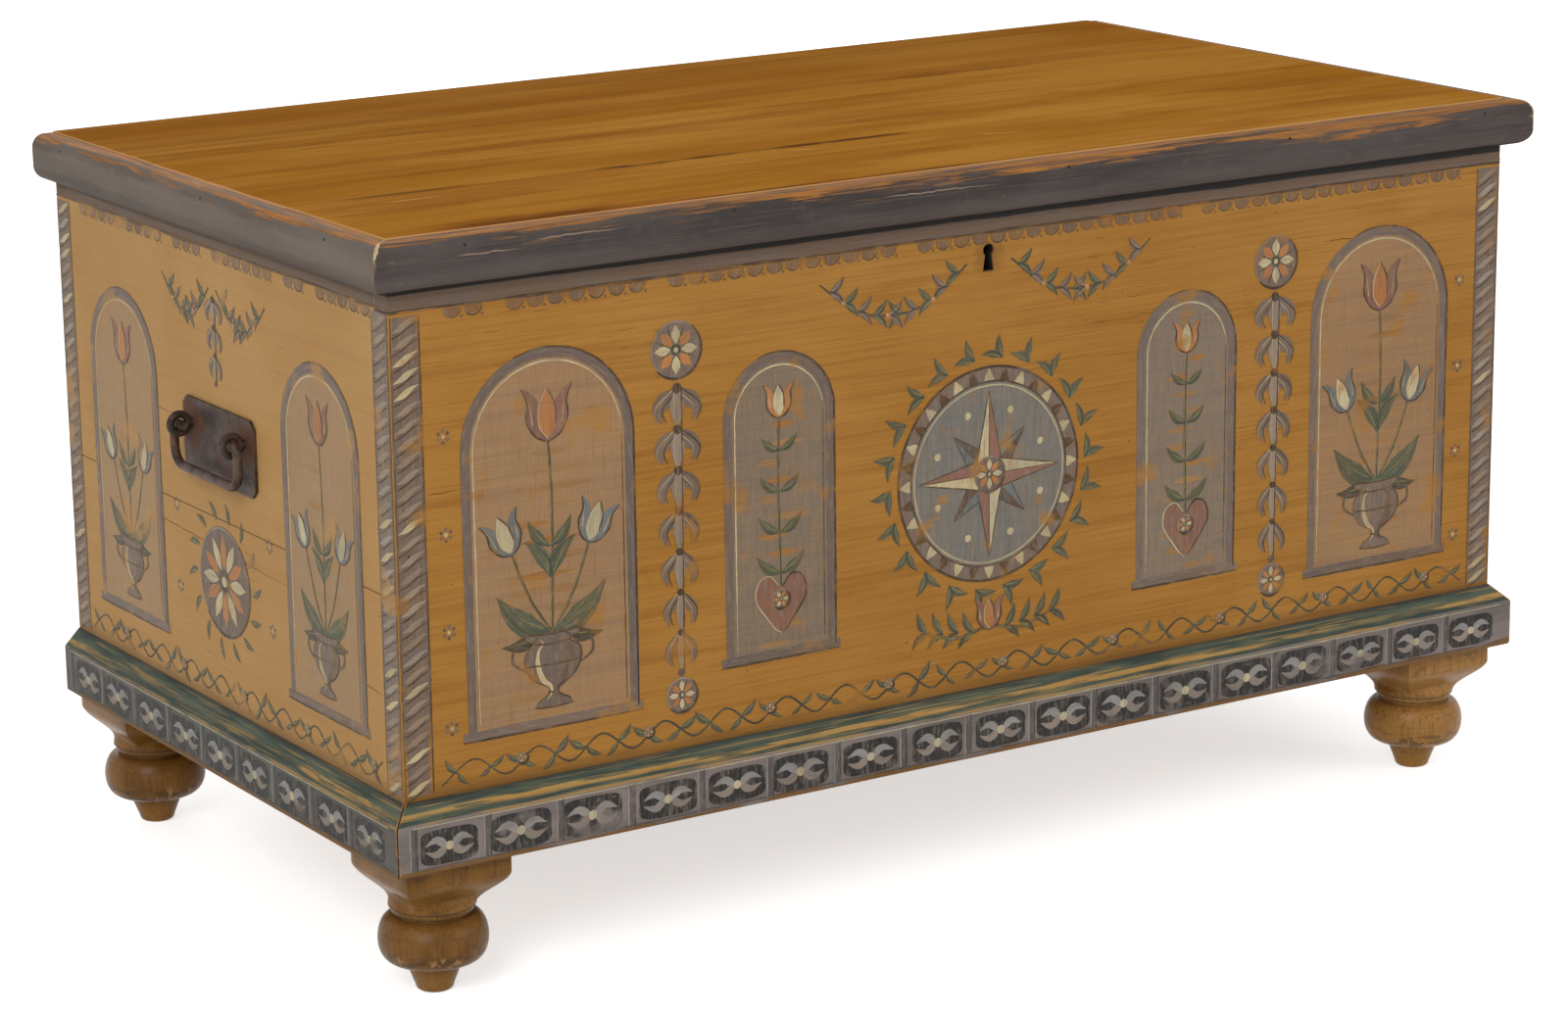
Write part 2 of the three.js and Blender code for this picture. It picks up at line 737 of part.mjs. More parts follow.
function addHinge(name, sign) {
  const middle = sign * hingeMiddle;
  const strapHalf = strapWidth / 2;
  const leafHalf = leafWidth / 2;
  const hole = knuckle(
    middle - leafHalf - cutOverrun,
    middle + leafHalf + cutOverrun,
    hingePinRadius + hingePinGap,
  );
  const strapPlate = block(
    [middle - strapHalf, middle + strapHalf],
    [halfDepth - strapLength, hingeAxis.x],
    [rim - hingePlateThickness, rim],
  );
  const strapScrews = strapScrewPlaces(sign);
  const strap = strapPlate.add(knuckle(middle - strapHalf, middle + strapHalf, knuckleRadius));
  const strapBores = strapScrews.map((at) => screwBore(at, up));
  add(`hinge_strap_${name}`, cutAll(strap, [hole, ...strapBores]), "iron");
  strapScrews.forEach((at, i) => add(`strap_screw_${name}_${i + 1}`, screw(at, up), "iron"));

  const leafPlate = block(
    [middle - leafHalf, middle + leafHalf],
    [halfDepth + jointGap, halfDepth + jointGap + hingePlateThickness],
    [hingeAxis.y - leafHeight, hingeAxis.y],
  );
  const gapHalf = strapHalf + knuckleSideGap;
  const clearing = block(
    [middle - gapHalf, middle + gapHalf],
    [halfDepth - cutOverrun, rear + cutOverrun],
    [hingeAxis.y - knuckleRadius - knuckleSideGap, rim + cutOverrun],
  );
  const leafKnuckle = knuckle(middle - leafHalf, middle + leafHalf, knuckleRadius);
  const leafScrews = leafScrewPlaces(sign);
  const leafBores = leafScrews.map((at) => screwBore(at, forward));
  const leaf = cutAll(leafPlate.add(leafKnuckle), [clearing, hole, ...leafBores]);
  add(`hinge_leaf_${name}`, leaf, "iron");
  leafScrews.forEach((at, i) => add(`leaf_screw_${name}_${i + 1}`, screw(at, forward), "iron"));
  add(`hinge_pin_${name}`, knuckle(middle - leafHalf, middle + leafHalf, hingePinRadius), "iron");
}

// Lock

function addLockPlate() {
  const plate = block(
    [-lockPlateHalf, lockPlateHalf],
    [lockPlateFront, lockPlateBack],
    [lockBottom, lockTop],
  );
  const flange = block(
    [-lockCapHalf, lockCapHalf],
    [lockPlateFront, lockCapBack],
    [lockTop - lockPlateThickness, lockTop],
  );
  const guideDeep = boltMiddle + boltThickness / 2 + boltGuideGap + guideWall;
  const guideLow = boltBottom - boltGuideGap - guideWall;
  const guideHigh = boltTop + boltGuideGap + guideWall;
  const guideStarts = [-guideOuter, guideInner];
  const guides = guideStarts.map((x) =>
    block([x, x + guideWidth], [lockPlateFront, guideDeep], [guideLow, guideHigh]),
  );
  const boltWay = block(
    [boltStart - cutOverrun, boltEnd + cutOverrun],
    [boltMiddle - boltThickness / 2 - boltGuideGap, boltMiddle + boltThickness / 2 + boltGuideGap],
    [boltBottom - boltGuideGap, boltTop + boltGuideGap],
  );
  const slot = block(
    [stapleLow - stapleSlotGap, stapleHigh + stapleSlotGap],
    [boltMiddle - stapleDepth / 2 - stapleSlotGap, boltMiddle + stapleDepth / 2 + stapleSlotGap],
    [lockTop - lockPlateThickness - cutOverrun, lockTop + cutOverrun],
  );
  const keyhole = keyholeCutter(lockPlateFront - cutOverrun, lockPlateBack + cutOverrun);
  const screwHoles = lockScrewPlaces().map((at) => screwBore(at, forward));
  const guided = guides.reduce((whole, guide) => whole.add(guide), plate.add(flange));
  add("lock_plate", cutAll(guided, [boltWay, slot, keyhole, ...screwHoles]), "iron");
  lockScrewPlaces().forEach((at, i) => add(`lock_screw_${i + 1}`, screw(at, forward), "iron"));
}

function addLockCap() {
  const half = lockCapHalf;
  const top = lockTop - lockPlateThickness - jointGap;
  const shell = block([-half, half], [lockCapFront, lockCapBack], [lockBottom, top]);
  const hollow = block(
    [-half + lockCapWall, half - lockCapWall],
    [lockCapFront - cutOverrun, lockCapBack - lockCapWall],
    [lockBottom + lockCapWall, top + cutOverrun],
  );
  const pinStart = new THREE.Vector3(0, lockCapFront, keyholeHeight);
  const pinEnd = new THREE.Vector3(0, lockCapBack + jointGap, keyholeHeight);
  const hole = rod(pinStart, pinEnd, keyPinRadius + jointGap, boreSegments);
  add("lock_cap", cutAll(shell, [hollow, hole]), "iron");
  const headEnd = pinEnd.clone().setY(pinEnd.y + keyPinHeadHeight);
  const pin = rod(pinStart, headEnd, keyPinRadius, boreSegments);
  const head = rod(pinEnd, headEnd, keyPinHeadRadius, boreSegments);
  add("lock_key_pin", pin.add(head), "iron");
}

function addBolt() {
  const middle = -boltTravel / 2;
  const talon = boltTalonWidth / 2;
  const notch = talonNotchWidth / 2;
  const low = -boltHeight - boltTalonHeight;
  const outline = [
    [boltStart, 0],
    [boltStart, -boltHeight],
    [middle - talon, -boltHeight],
    [middle - talon, low],
    [middle - notch, low],
    [middle - notch, low + talonNotchHeight],
    [middle + notch, low + talonNotchHeight],
    [middle + notch, low],
    [middle + talon, low],
    [middle + talon, -boltHeight],
    [boltEnd, -boltHeight],
    [boltEnd, 0],
  ];
  const shape = new THREE.Shape(outline.map(([u, v]) => new THREE.Vector2(u, v)));
  const centre = new THREE.Vector3(0, boltMiddle, boltTop);
  add("lock_bolt", profileRun(shape, new THREE.Vector3(1, 0, 0), boltThickness, centre), "iron");
}

function addStaple() {
  const middle = (stapleLow + stapleHigh) / 2;
  const plateTop = lidUnderside - jointGap;
  const plateBottom = plateTop - staplePlateThickness;
  const plate = block(
    [middle - staplePlateLength / 2, middle + staplePlateLength / 2],
    [boltMiddle - staplePlateWidth / 2, boltMiddle + staplePlateWidth / 2],
    [plateBottom, plateTop],
  );
  const loopBottom = boltBottom - stapleWindowGap - stapleLoopWall;
  const loop = block(
    [stapleLow, stapleHigh],
    [boltMiddle - stapleDepth / 2, boltMiddle + stapleDepth / 2],
    [loopBottom, plateTop],
  );
  const windowHalf = boltThickness / 2 + stapleWindowGap;
  const window = block(
    [stapleLow - cutOverrun, stapleHigh + cutOverrun],
    [boltMiddle - windowHalf, boltMiddle + windowHalf],
    [boltBottom - stapleWindowGap, boltTop + stapleWindowGap],
  );
  const bores = stapleScrewPlaces().map((at) => screwBore(at, up));
  add("lock_staple", cutAll(plate.add(loop), [window, ...bores]), "iron");
  stapleScrewPlaces().forEach((at, i) => {
    add(`staple_screw_${sides[i].name}`, screw(at, up), "iron");
  });
}

addWalls();
addBottom();
addPlinth();
addFeet();
addLid();
addMoulding();
for (const { name, sign } of sides) {
  addHandlePlate(name, sign);
  addEyes(name, sign);
  addBail(name, sign);
  addHinge(name, sign);
}
addLockPlate();
addLockCap();
addBolt();
addStaple();

export default chest;
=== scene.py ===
# The looks of a painted pine blanket chest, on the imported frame. Metres, front towards -Y.
import json
import math
import random
import bpy
from mathutils import Matrix, Vector, noise

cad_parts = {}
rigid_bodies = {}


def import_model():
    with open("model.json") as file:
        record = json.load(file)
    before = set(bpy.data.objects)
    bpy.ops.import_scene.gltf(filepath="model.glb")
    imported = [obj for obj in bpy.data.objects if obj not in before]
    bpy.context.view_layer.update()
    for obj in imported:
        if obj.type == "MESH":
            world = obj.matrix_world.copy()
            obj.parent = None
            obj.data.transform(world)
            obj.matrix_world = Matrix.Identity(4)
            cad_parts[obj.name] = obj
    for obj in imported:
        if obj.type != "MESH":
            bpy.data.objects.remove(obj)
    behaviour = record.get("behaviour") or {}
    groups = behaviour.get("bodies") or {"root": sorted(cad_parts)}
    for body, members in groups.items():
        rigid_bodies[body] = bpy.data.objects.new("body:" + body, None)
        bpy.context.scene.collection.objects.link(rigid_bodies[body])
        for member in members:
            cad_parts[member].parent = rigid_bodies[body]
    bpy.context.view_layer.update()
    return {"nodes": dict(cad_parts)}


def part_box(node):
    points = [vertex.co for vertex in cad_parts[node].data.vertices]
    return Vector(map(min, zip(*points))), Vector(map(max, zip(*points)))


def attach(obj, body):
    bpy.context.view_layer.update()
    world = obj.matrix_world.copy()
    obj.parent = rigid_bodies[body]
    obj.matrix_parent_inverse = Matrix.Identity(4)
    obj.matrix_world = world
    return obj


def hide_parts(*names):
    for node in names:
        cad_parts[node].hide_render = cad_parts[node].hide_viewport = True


for leftover in list(bpy.data.objects):
    bpy.data.objects.remove(leftover)
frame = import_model()
TURN = 2 * math.pi

# Faces and levels, taken from the frame
case_low, case_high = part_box("front_board")
CASE_HALF = case_high.x
CASE_FRONT = case_low.y
END_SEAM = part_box("left_end_lower_board")[1].z
BACK_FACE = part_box("back_board")[1].y
FRONT_INSIDE = case_high.y
MOULDING_LOW, MOULDING_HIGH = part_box("lid_moulding_front")
MOULDING_HALF = MOULDING_HIGH.x
MOULDING_TALL = MOULDING_HIGH.z - MOULDING_LOW.z
PLINTH_LOW, PLINTH_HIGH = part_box("plinth_front")
PLINTH_HALF = PLINTH_HIGH.x
LID_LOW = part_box("lid_front_board")[0]
LID_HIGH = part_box("lid_rear_board")[1]
SEAM_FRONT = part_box("lid_front_board")[1].y
SEAM_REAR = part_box("lid_rear_board")[0].y

# Camera, solved on the photograph
CAMERA_PLACE = (-1.8416, -2.8528, 1.1111)
CAMERA_YAW = 0.5712
CAMERA_PITCH = 0.2514
CAMERA_ROLL = -0.0121
CAMERA_LENS = 100.23
SENSOR_WIDTH = 36

# Lamps and stage
FLOOR_HALF = 14
FLOOR_COLOUR = (0.86, 0.86, 0.86, 1)
FLOOR_GLOW = 0.6
SKY_COLOUR = (1, 1, 1, 1)
SKY_STRENGTH = 0.52
LAMPS = {
    "key": {"place": (-5.0, -4.4, 4.3), "aim": (-0.1, -0.1, 0.3), "size": 3.4, "power": 250},
    "fill": {"place": (4.0, -5.4, 2.8), "aim": (0.1, 0, 0.3), "size": 3.6, "power": 75},
    "back": {"place": (1.6, 4.8, 3.6), "aim": (0, 0, 0.3), "size": 3.4, "power": 80},
}

# Roundings of the boards' and irons' edges
BOARD_ROUNDING = 0.0012
LID_ROUNDING = 0.0018
SEAM_ROUNDING = 0.0006
IRON_ROUNDING = 0.0004
WELD_DISTANCE = 0.00001
SHARP_ANGLE = math.radians(38)
ROUNDING_STEPS = 3

# Turned foot: the CAD foot's height and widths, its block drawn in to a round neck
TOE_BOTTOM_RADIUS = 0.014
TOE_TOP_RADIUS = 0.021
TOE_HEIGHT = 0.022
TOE_ROUNDING = 0.004
TOE_STEPS = 6
BALL_RADIUS = 0.040
BALL_HEIGHT = 0.036
BALL_STEPS = 26
NECK_RADIUS = 0.027
NECK_HEIGHT = 0.003
RING_RADIUS = 0.030
RING_HEIGHT = 0.004
RING_LOW = TOE_HEIGHT + BALL_HEIGHT + NECK_HEIGHT
TAPER_RADIUS = 0.032
TAPER_HEIGHT = 0.0275
TAPER_STEPS = 22
ROUND_SHARE = 0.35
SQUARE_HEIGHT = 0.0145
SQUARE_HALF = 0.043
SQUARE_CORNER = SQUARE_HALF * math.sqrt(2)
SQUARE_POWER = 36
TENON_RADIUS = 0.0125
TENON_HEIGHT = 0.017
FOOT_SIDES = 96
FOOT_WOBBLE = 0.00025
WOBBLE_LENGTH = 0.02

# Handles: the CAD sizes of the eyes and the bail
EYE_RADIUS = 0.0072
EYE_WIRE = 0.003
CLINCH_LENGTH = 0.016
BAIL_RADIUS = 0.0036
BAIL_SHARE_WOBBLE = 0.05
BAIL_HALF = 0.0533
BAIL_PIN_HALF = 0.036
BAIL_DROP = 0.031
BAIL_TOP_BEND = 0.006
BAIL_BOTTOM_BEND = 0.013
IRON_SIDES = 14
RING_STEPS = 40
BEND_STEPS = 8

# Nails
NAIL_RADIUS = 0.0014
NAIL_RISE = 0.00015
NAIL_SINK = 0.002
NAIL_SIDES = 14
NAIL_SHARES = ((1, -1), (1, 0), (0.8, 0.6), (0.4, 0.95))
MOULDING_NAIL_X = (-0.448, -0.232, 0.060, 0.270, 0.467)
MOULDING_NAIL_Y = (-0.215, -0.020, 0.228)
MOULDING_NAIL_DROP = 0.0065
MOULDING_ROUNDING = 0.010
CASE_NAIL_INSET = 0.010
CASE_NAIL_Z = (0.236, 0.334, 0.432)


def paint(red, green, blue):
    """A colour from its 0 to 255 screen values."""
    def linear(level):
        share = level / 255
        return share / 12.92 if share <= 0.04045 else ((share + 0.055) / 1.055) ** 2.4
    return (linear(red), linear(green), linear(blue), 1)


OCHRE = paint(157, 108, 44)
OCHRE_LIGHT = paint(170, 122, 58)
OCHRE_DARK = paint(132, 85, 31)
FRONT_TONES = (OCHRE, OCHRE_LIGHT, OCHRE_DARK)
# The ends' ochre, lighter and paler than the front's, in part painted sheen where the light grazes the ends
END_OCHRE = paint(170, 129, 76)
END_OCHRE_LIGHT = paint(179, 140, 88)
END_OCHRE_DARK = paint(148, 106, 58)
END_TONES = (END_OCHRE, END_OCHRE_LIGHT, END_OCHRE_DARK)
END_GRAIN = 0.35
STAIN = paint(96, 58, 24)
RED_STAIN = paint(96, 48, 18)
GRIME = paint(62, 46, 32)
MAUVE = paint(106, 96, 90)
MAUVE_DARK = paint(82, 75, 71)
LID_MAUVE = paint(86, 79, 76)
LID_MAUVE_DARK = paint(66, 60, 58)
MAUVE_LIGHT = paint(140, 128, 116)
MAUVE_BROWN = paint(108, 87, 72)
PLINTH_MAUVE = paint(131, 119, 113)
PLINTH_DARK = paint(103, 94, 90)
END_MAUVE = paint(114, 104, 96)
END_MAUVE_DARK = paint(98, 89, 82)
END_MAUVE_LIGHT = paint(130, 120, 110)
INK = paint(50, 46, 44)
BLACK = paint(38, 37, 36)
CREAM = paint(190, 178, 142)
BLUE = paint(100, 112, 114)
PEACH = paint(178, 118, 72)
ROSE = paint(132, 96, 84)
GREEN = paint(66, 84, 70)
GREEN_DARK = paint(46, 60, 54)
GREEN_LIGHT = paint(112, 120, 80)
SLOPE_GREEN = paint(80, 90, 76)
SLOPE_DARK = paint(54, 64, 58)
SLOPE_TAN = paint(158, 124, 72)
SLOPE_OCHRE = paint(172, 140, 84)
SCRATCH_PALE = paint(176, 150, 128)
PALE = paint(146, 143, 138)
BARE_EDGE = paint(172, 114, 56)
BARE_BROWN = paint(124, 92, 64)
BARE_PALE = paint(206, 158, 108)
WORN_CREAM = paint(214, 192, 140)
LID_BROWN = paint(156, 102, 28)
LID_STREAK = paint(118, 67, 14)
LID_RED = paint(132, 70, 20)
LID_LIGHT = paint(174, 121, 46)
LID_FLECK = paint(190, 148, 86)
PINE = paint(176, 138, 90)
PINE_DARK = paint(138, 96, 54)
PINE_LIGHT = paint(194, 160, 114)
FOOT_BROWN = paint(115, 78, 30)
FOOT_DARK = paint(82, 53, 24)
FOOT_LIGHT = paint(140, 99, 47)
# Painted light: a paler tone for the right feet, which lie in the chest's shade
FOOT_PAINTED_LIGHT = paint(162, 118, 62)
CHIP_BROWN = paint(166, 128, 78)
IRON = paint(72, 58, 50)
IRON_DARK = paint(46, 37, 32)
IRON_LIGHT = paint(106, 90, 78)
PLATE_IRON = paint(76, 60, 49)
BAIL_IRON = paint(92, 74, 62)
RUST = paint(92, 60, 44)

# Sizes of grain, clouds and wear
PATCH = 0.16
SMALL_PATCH = 0.035
MOTTLE = 0.012
GRAIN_LONG = 0.30
GRAIN_WIDE = 0.009
FINE_LONG = 0.09
FINE_WIDE = 0.0016
SCRATCH_LONG = 0.035
SCRATCH_WIDE = 0.0007
SPECK = 0.0042
RINGS_LONG = 1.4
RINGS_WIDE = 0.017
WEAR_LONG = 0.055
WEAR_WIDE = 0.006
DRY_LONG = 0.080
DRY_WIDE = 0.0013
PIT = 0.0022
WAVE = 0.05
RELIEF = 0.00035
IRON_RELIEF = 0.0007
BRISTLE_LONG = 0.030
BRISTLE_WIDE = 0.0007
EYE_RUST_REACH = 0.024
MIDDLE_BOARD_SHIFT = 1
REAR_BOARD_SHIFT = 1.7

# Bands of plain paint on the case and the plinth, and the black line of painted shadow under the lid
# The black line under the lid is painted shadow, on the case and on the front moulding's lowest edge
SHADOW_LINE_LEVELS = {"x": 0.5160, "y": 0.5132}
SHADOW_LINE_TILT = 0.0034
SHADOW_EDGE_TALL = 0.0026
SHADOW_EDGE_DROP = MOULDING_TALL - SHADOW_EDGE_TALL
# Painted light: from this drop down, the front moulding is painted paler against its shade
PAINTED_LIGHT_DROP = 0.018
BAND_LEVELS = {"x": 0.5058, "y": 0.508}
BAND_LINE = 0.0013
RAGGED = 0.0016
EDGE_BLUR = 0.0007
SLOPE_STREAK_LOW = 0.1476
SLOPE_STREAK_HIGH = 0.1508
SLOPE_ARRIS_Z = 0.1442
ARRIS_HALF = 0.0012
PLINTH_WORN_Z = 0.1116
STREAK_BREAK_SHARES = {"x": (0.38, 0.52), "y": (0.50, 0.60)}

# Wear of the lid's moulding: how far it reaches, sways and fades, in metres
BARE_REACH = {"x": 0.0195, "y": 0.0175}
RIGHT_BARE_REACH = 0.007
WEAR_SWAYS = ((0.010, PATCH, PATCH), (0.012, WEAR_LONG, WEAR_WIDE), (0.010, DRY_LONG, DRY_WIDE))
PATCH_FADE = (0.036, 0.014)
STREAK_FADE = (0.046, 0.016)
MITRE_CALM = 0.14
MITRE_BRIGHT_DROP = 0.009
MITRE_FLECK_DROP = 0.028
MITRE_HALF = 0.0017

# Keyhole, seams, stains and cracks
KEYHOLE_PLACE = (0, case_low.y, 0.4865)
KEYHOLE_STAIN = 0.016
KEYHOLE_MIDDLE = (0, (case_low.y + case_high.y) / 2, 0.4845)
KEYHOLE_REACH = 0.034
# Painted shade: the depth over which the keyhole's sides turn black
KEYHOLE_SHADE_DEPTH = 0.003
SEAM_HALF = 0.0007
SEAM_STREAK = 0.006
SEAM_MARKS = (
    ({"from": -0.27, "to": 0.05, "share": 0.95}, {"from": -0.48, "to": -0.33, "share": 0.5}),
    ({"from": -0.42, "to": -0.10, "share": 0.25}, {"from": 0.12, "to": 0.34, "share": 0.4}),
)
EDGE_STAINS = ({"from": -0.47, "to": -0.29, "deep": 0.030}, {"from": -0.29, "to": 0.02, "deep": 0.009})
LID_EDGE = 0.0016
LID_SCRATCH_HALF = 0.0022
LID_SCRATCHES = (
    ((0.063, -0.163), (0.105, -0.180)),
    ((-0.091, -0.138), (-0.059, -0.151)),
    ((-0.438, -0.153), (-0.386, -0.152)),
)
MOULDING_SCRATCHES = (
    ((-0.457, 0.5440), (-0.398, 0.5428)),
    ((-0.396, 0.5478), (-0.314, 0.5486)),
    ((-0.110, 0.5462), (0.006, 0.5448)),
)
CRACK_HALF = 0.0006
CRACK_SHARE = 0.85
CRACK_SWAY = 0.0016
END_CRACKS = (
    ((0.171, 0.371), (0.064, 0.370)),
    ((0.180, 0.286), (-0.162, 0.274)),
    ((0.198, 0.350), (0.240, 0.303)),
    ((-0.215, 0.232), (-0.252, 0.229)),
)
FRONT_CRACKS = (((-0.476, 0.375), (-0.443, 0.376)), ((0.318, 0.462), (0.372, 0.461)))


# Node materials

class Recipe:
    """The nodes of one material. Each call adds nodes and gives back a socket."""

    def __init__(self, name):
        self.material = bpy.data.materials.new(name)
        self.material.use_nodes = True
        self.nodes = self.material.node_tree.nodes
        self.links = self.material.node_tree.links
        self.nodes.clear()
        coordinates = self.nodes.new("ShaderNodeTexCoord")
        self.place = coordinates.outputs["Object"]
        self.x, self.y, self.z = self.split(self.place)
        self.facing = self.split(coordinates.outputs["Normal"])

    def feed(self, socket, value):
        if isinstance(value, bpy.types.NodeSocket):
            self.links.new(value, socket)
        else:
            socket.default_value = value

    def split(self, vector):
        node = self.nodes.new("ShaderNodeSeparateXYZ")
        self.feed(node.inputs[0], vector)
        return node.outputs[0], node.outputs[1], node.outputs[2]

    def math(self, operation, first, second=0.0):
        node = self.nodes.new("ShaderNodeMath")
        node.operation = operation
        self.feed(node.inputs[0], first)
        self.feed(node.inputs[1], second)
        return node.outputs[0]

    def plus(self, first, second):
        return self.math("ADD", first, second)

    def less(self, first, second):
        return self.math("SUBTRACT", first, second)

    def both(self, first, second):
        return self.math("MULTIPLY", first, second)

    def either(self, first, second):
        return self.math("MAXIMUM", first, second)

    def opposite(self, value):
        return self.less(1.0, value)

    def apart(self, first, second):
        """How far two values lie apart."""
        return self.math("ABSOLUTE", self.less(first, second))

    def total(self, *parts):
        """The sum of values, each times its share."""
        result = 0.0
        for value, share in parts:
            result = self.plus(result, self.both(value, share))
        return result

    def between(self, value, low, high):
        """A factor that runs from low to high as the value runs from 0 to 1."""
        return self.plus(self.both(value, high - low), low)

    def rise(self, value, low, high):
        """0 below low, 1 above high, smooth between; low may lie above high."""
        node = self.nodes.new("ShaderNodeMapRange")
        node.interpolation_type = "SMOOTHSTEP"
        self.feed(node.inputs["Value"], value)
        flipped = low > high
        self.feed(node.inputs["From Min"], min(low, high))
        self.feed(node.inputs["From Max"], max(low, high))
        self.feed(node.inputs["To Min"], 1.0 if flipped else 0.0)
        self.feed(node.inputs["To Max"], 0.0 if flipped else 1.0)
        return node.outputs["Result"]

    def edge(self, value, level):
        """0 below a level and 1 above it, with a crisp edge."""
        return self.rise(value, level - EDGE_BLUR, level + EDGE_BLUR)

    def near(self, value, level, half):
        """1 at a level, 0 further from it than half."""
        return self.rise(self.apart(value, level), half, half / 2)

    def clouds(self, size, detail=4, seed=0, vector=None, roughness=0.55):
        """Noise about 0.5, with features of the given size along x, y and z."""
        sizes = size if isinstance(size, tuple) else (size, size, size)
        mapping = self.nodes.new("ShaderNodeMapping")
        self.feed(mapping.inputs["Vector"], vector or self.place)
        mapping.inputs["Scale"].default_value = [1 / length for length in sizes]
        mapping.inputs["Location"].default_value = [seed * 3.7, seed * 1.9, seed * 5.3]
        node = self.nodes.new("ShaderNodeTexNoise")
        self.feed(node.inputs["Vector"], mapping.outputs[0])
        node.inputs["Scale"].default_value = 1
        node.inputs["Detail"].default_value = detail
        node.inputs["Roughness"].default_value = roughness
        return node.outputs["Fac"]

    def spots(self, size, low, high, seed, detail=4):
        """Noise with only its tops left: 0 below low, 1 above high."""
        return self.rise(self.clouds(size, detail, seed), low, high)

    def wobbly(self, value, reach, size, seed):
        """The value, moved up and down by noise of the given reach."""
        return self.plus(value, self.both(self.less(self.clouds(size, 4, seed), 0.5), 2 * reach))

    def distance_to(self, point):
        node = self.nodes.new("ShaderNodeVectorMath")
        node.operation = "DISTANCE"
        self.feed(node.inputs[0], self.place)
        node.inputs[1].default_value = point
        return node.outputs["Value"]

    def attribute(self, name):
        node = self.nodes.new("ShaderNodeAttribute")
        node.attribute_name = name
        return node

    def mix(self, share, first, second):
        node = self.nodes.new("ShaderNodeMix")
        node.data_type = "RGBA"
        self.feed(node.inputs[0], share)
        self.feed(node.inputs[6], first)
        self.feed(node.inputs[7], second)
        return node.outputs[2]

    def laid(self, colour, *layers):
        """The colour under layers of a tone, its mask and its share; the last lies on top."""
        for tone, mask, share in layers:
            colour = self.mix(self.both(mask, share), colour, tone)
        return colour

    def finish(self, colour, roughness, height, relief, specular=0.12, metallic=0.0):
        bump = self.nodes.new("ShaderNodeBump")
        bump.inputs["Distance"].default_value = relief
        bump.inputs["Strength"].default_value = 1
        self.feed(bump.inputs["Height"], height)
        shader = self.nodes.new("ShaderNodeBsdfPrincipled")
        self.feed(shader.inputs["Base Color"], colour)
        self.feed(shader.inputs["Roughness"], roughness)
        self.feed(shader.inputs["Normal"], bump.outputs[0])
        shader.inputs["Specular IOR Level"].default_value = specular
        shader.inputs["Metallic"].default_value = metallic
        output = self.nodes.new("ShaderNodeOutputMaterial")
        self.feed(output.inputs["Surface"], shader.outputs[0])
        return self.material


def along(axis, long, wide):
    """Feature sizes that are long along one axis and wide across it."""
    return tuple(long if axis == name else wide for name in "xyz")


def ochre_ground(recipe, axis, tones, strength=1.0):
    """Old ochre paint on pine, brushed along the board: its colour and its relief."""
    plain, light, dark = tones
    grain = recipe.clouds(along(axis, GRAIN_LONG, GRAIN_WIDE), 4, 2)
    fine = recipe.clouds(along(axis, FINE_LONG, FINE_WIDE), 3, 3)
    scratches = recipe.spots(along(axis, SCRATCH_LONG, SCRATCH_WIDE), 0.745, 0.79, 5, 1)
    scratches = recipe.both(scratches, recipe.spots(PATCH, 0.5, 0.62, 6, 1))
    marks = recipe.either(scratches, recipe.spots(SPECK, 0.785, 0.83, 7, 1))
    colour = recipe.laid(
        plain,
        (light, recipe.spots(PATCH, 0.36, 0.66, 1), 0.7),
        (dark, recipe.rise(grain, 0.48, 0.72), 0.45 * strength),
        (dark, recipe.rise(fine, 0.50, 0.70), 0.42 * strength),
        (light, recipe.rise(fine, 0.48, 0.30), 0.60 * strength),
        (dark, recipe.spots(SMALL_PATCH, 0.60, 0.78, 4), 0.20),
        (STAIN, marks, 0.75),
    )
    waves = recipe.clouds(WAVE, 1)
    return colour, recipe.total((grain, 0.4), (fine, 0.6), (marks, -0.8), (waves, 2.2))


def front_ground(recipe):
    return ochre_ground(recipe, "x", FRONT_TONES)


def end_ground(recipe):
    return ochre_ground(recipe, "y", END_TONES, END_GRAIN)


def mauve_ground(recipe, axis, tone, tone_dark, tone_light):
    """Mauve-grey paint, brushed along the moulding or plinth."""
    brushed = recipe.clouds(along(axis, DRY_LONG, DRY_WIDE), 3, 12)
    colour = recipe.laid(
        tone_dark,
        (tone, recipe.spots(along(axis, PATCH, SMALL_PATCH), 0.35, 0.68, 11), 1),
        (tone_light, recipe.rise(brushed, 0.52, 0.8), 0.5),
        (tone_dark, recipe.rise(brushed, 0.46, 0.25), 0.4),
        (tone_light, recipe.spots(MOTTLE, 0.56, 0.75, 13), 0.22),
    )
    return colour, recipe.both(brushed, 0.8)


def bare_tone(recipe, axis):
    """Unpainted, aged pine: its colour and its relief."""
    fine = recipe.clouds(along(axis, GRAIN_LONG, FINE_WIDE), 3, 42)
    colour = recipe.laid(
        PINE,
        (PINE_DARK, recipe.spots(along(axis, RINGS_LONG, RINGS_WIDE), 0.40, 0.68, 41, 5), 0.5),
        (PINE_DARK, recipe.rise(fine, 0.5, 0.75), 0.4),
        (PINE_LIGHT, recipe.rise(fine, 0.46, 0.25), 0.4),
        (STAIN, recipe.spots(PATCH, 0.5, 0.75, 43), 0.35),
    )
    return colour, recipe.both(fine, 0.9)


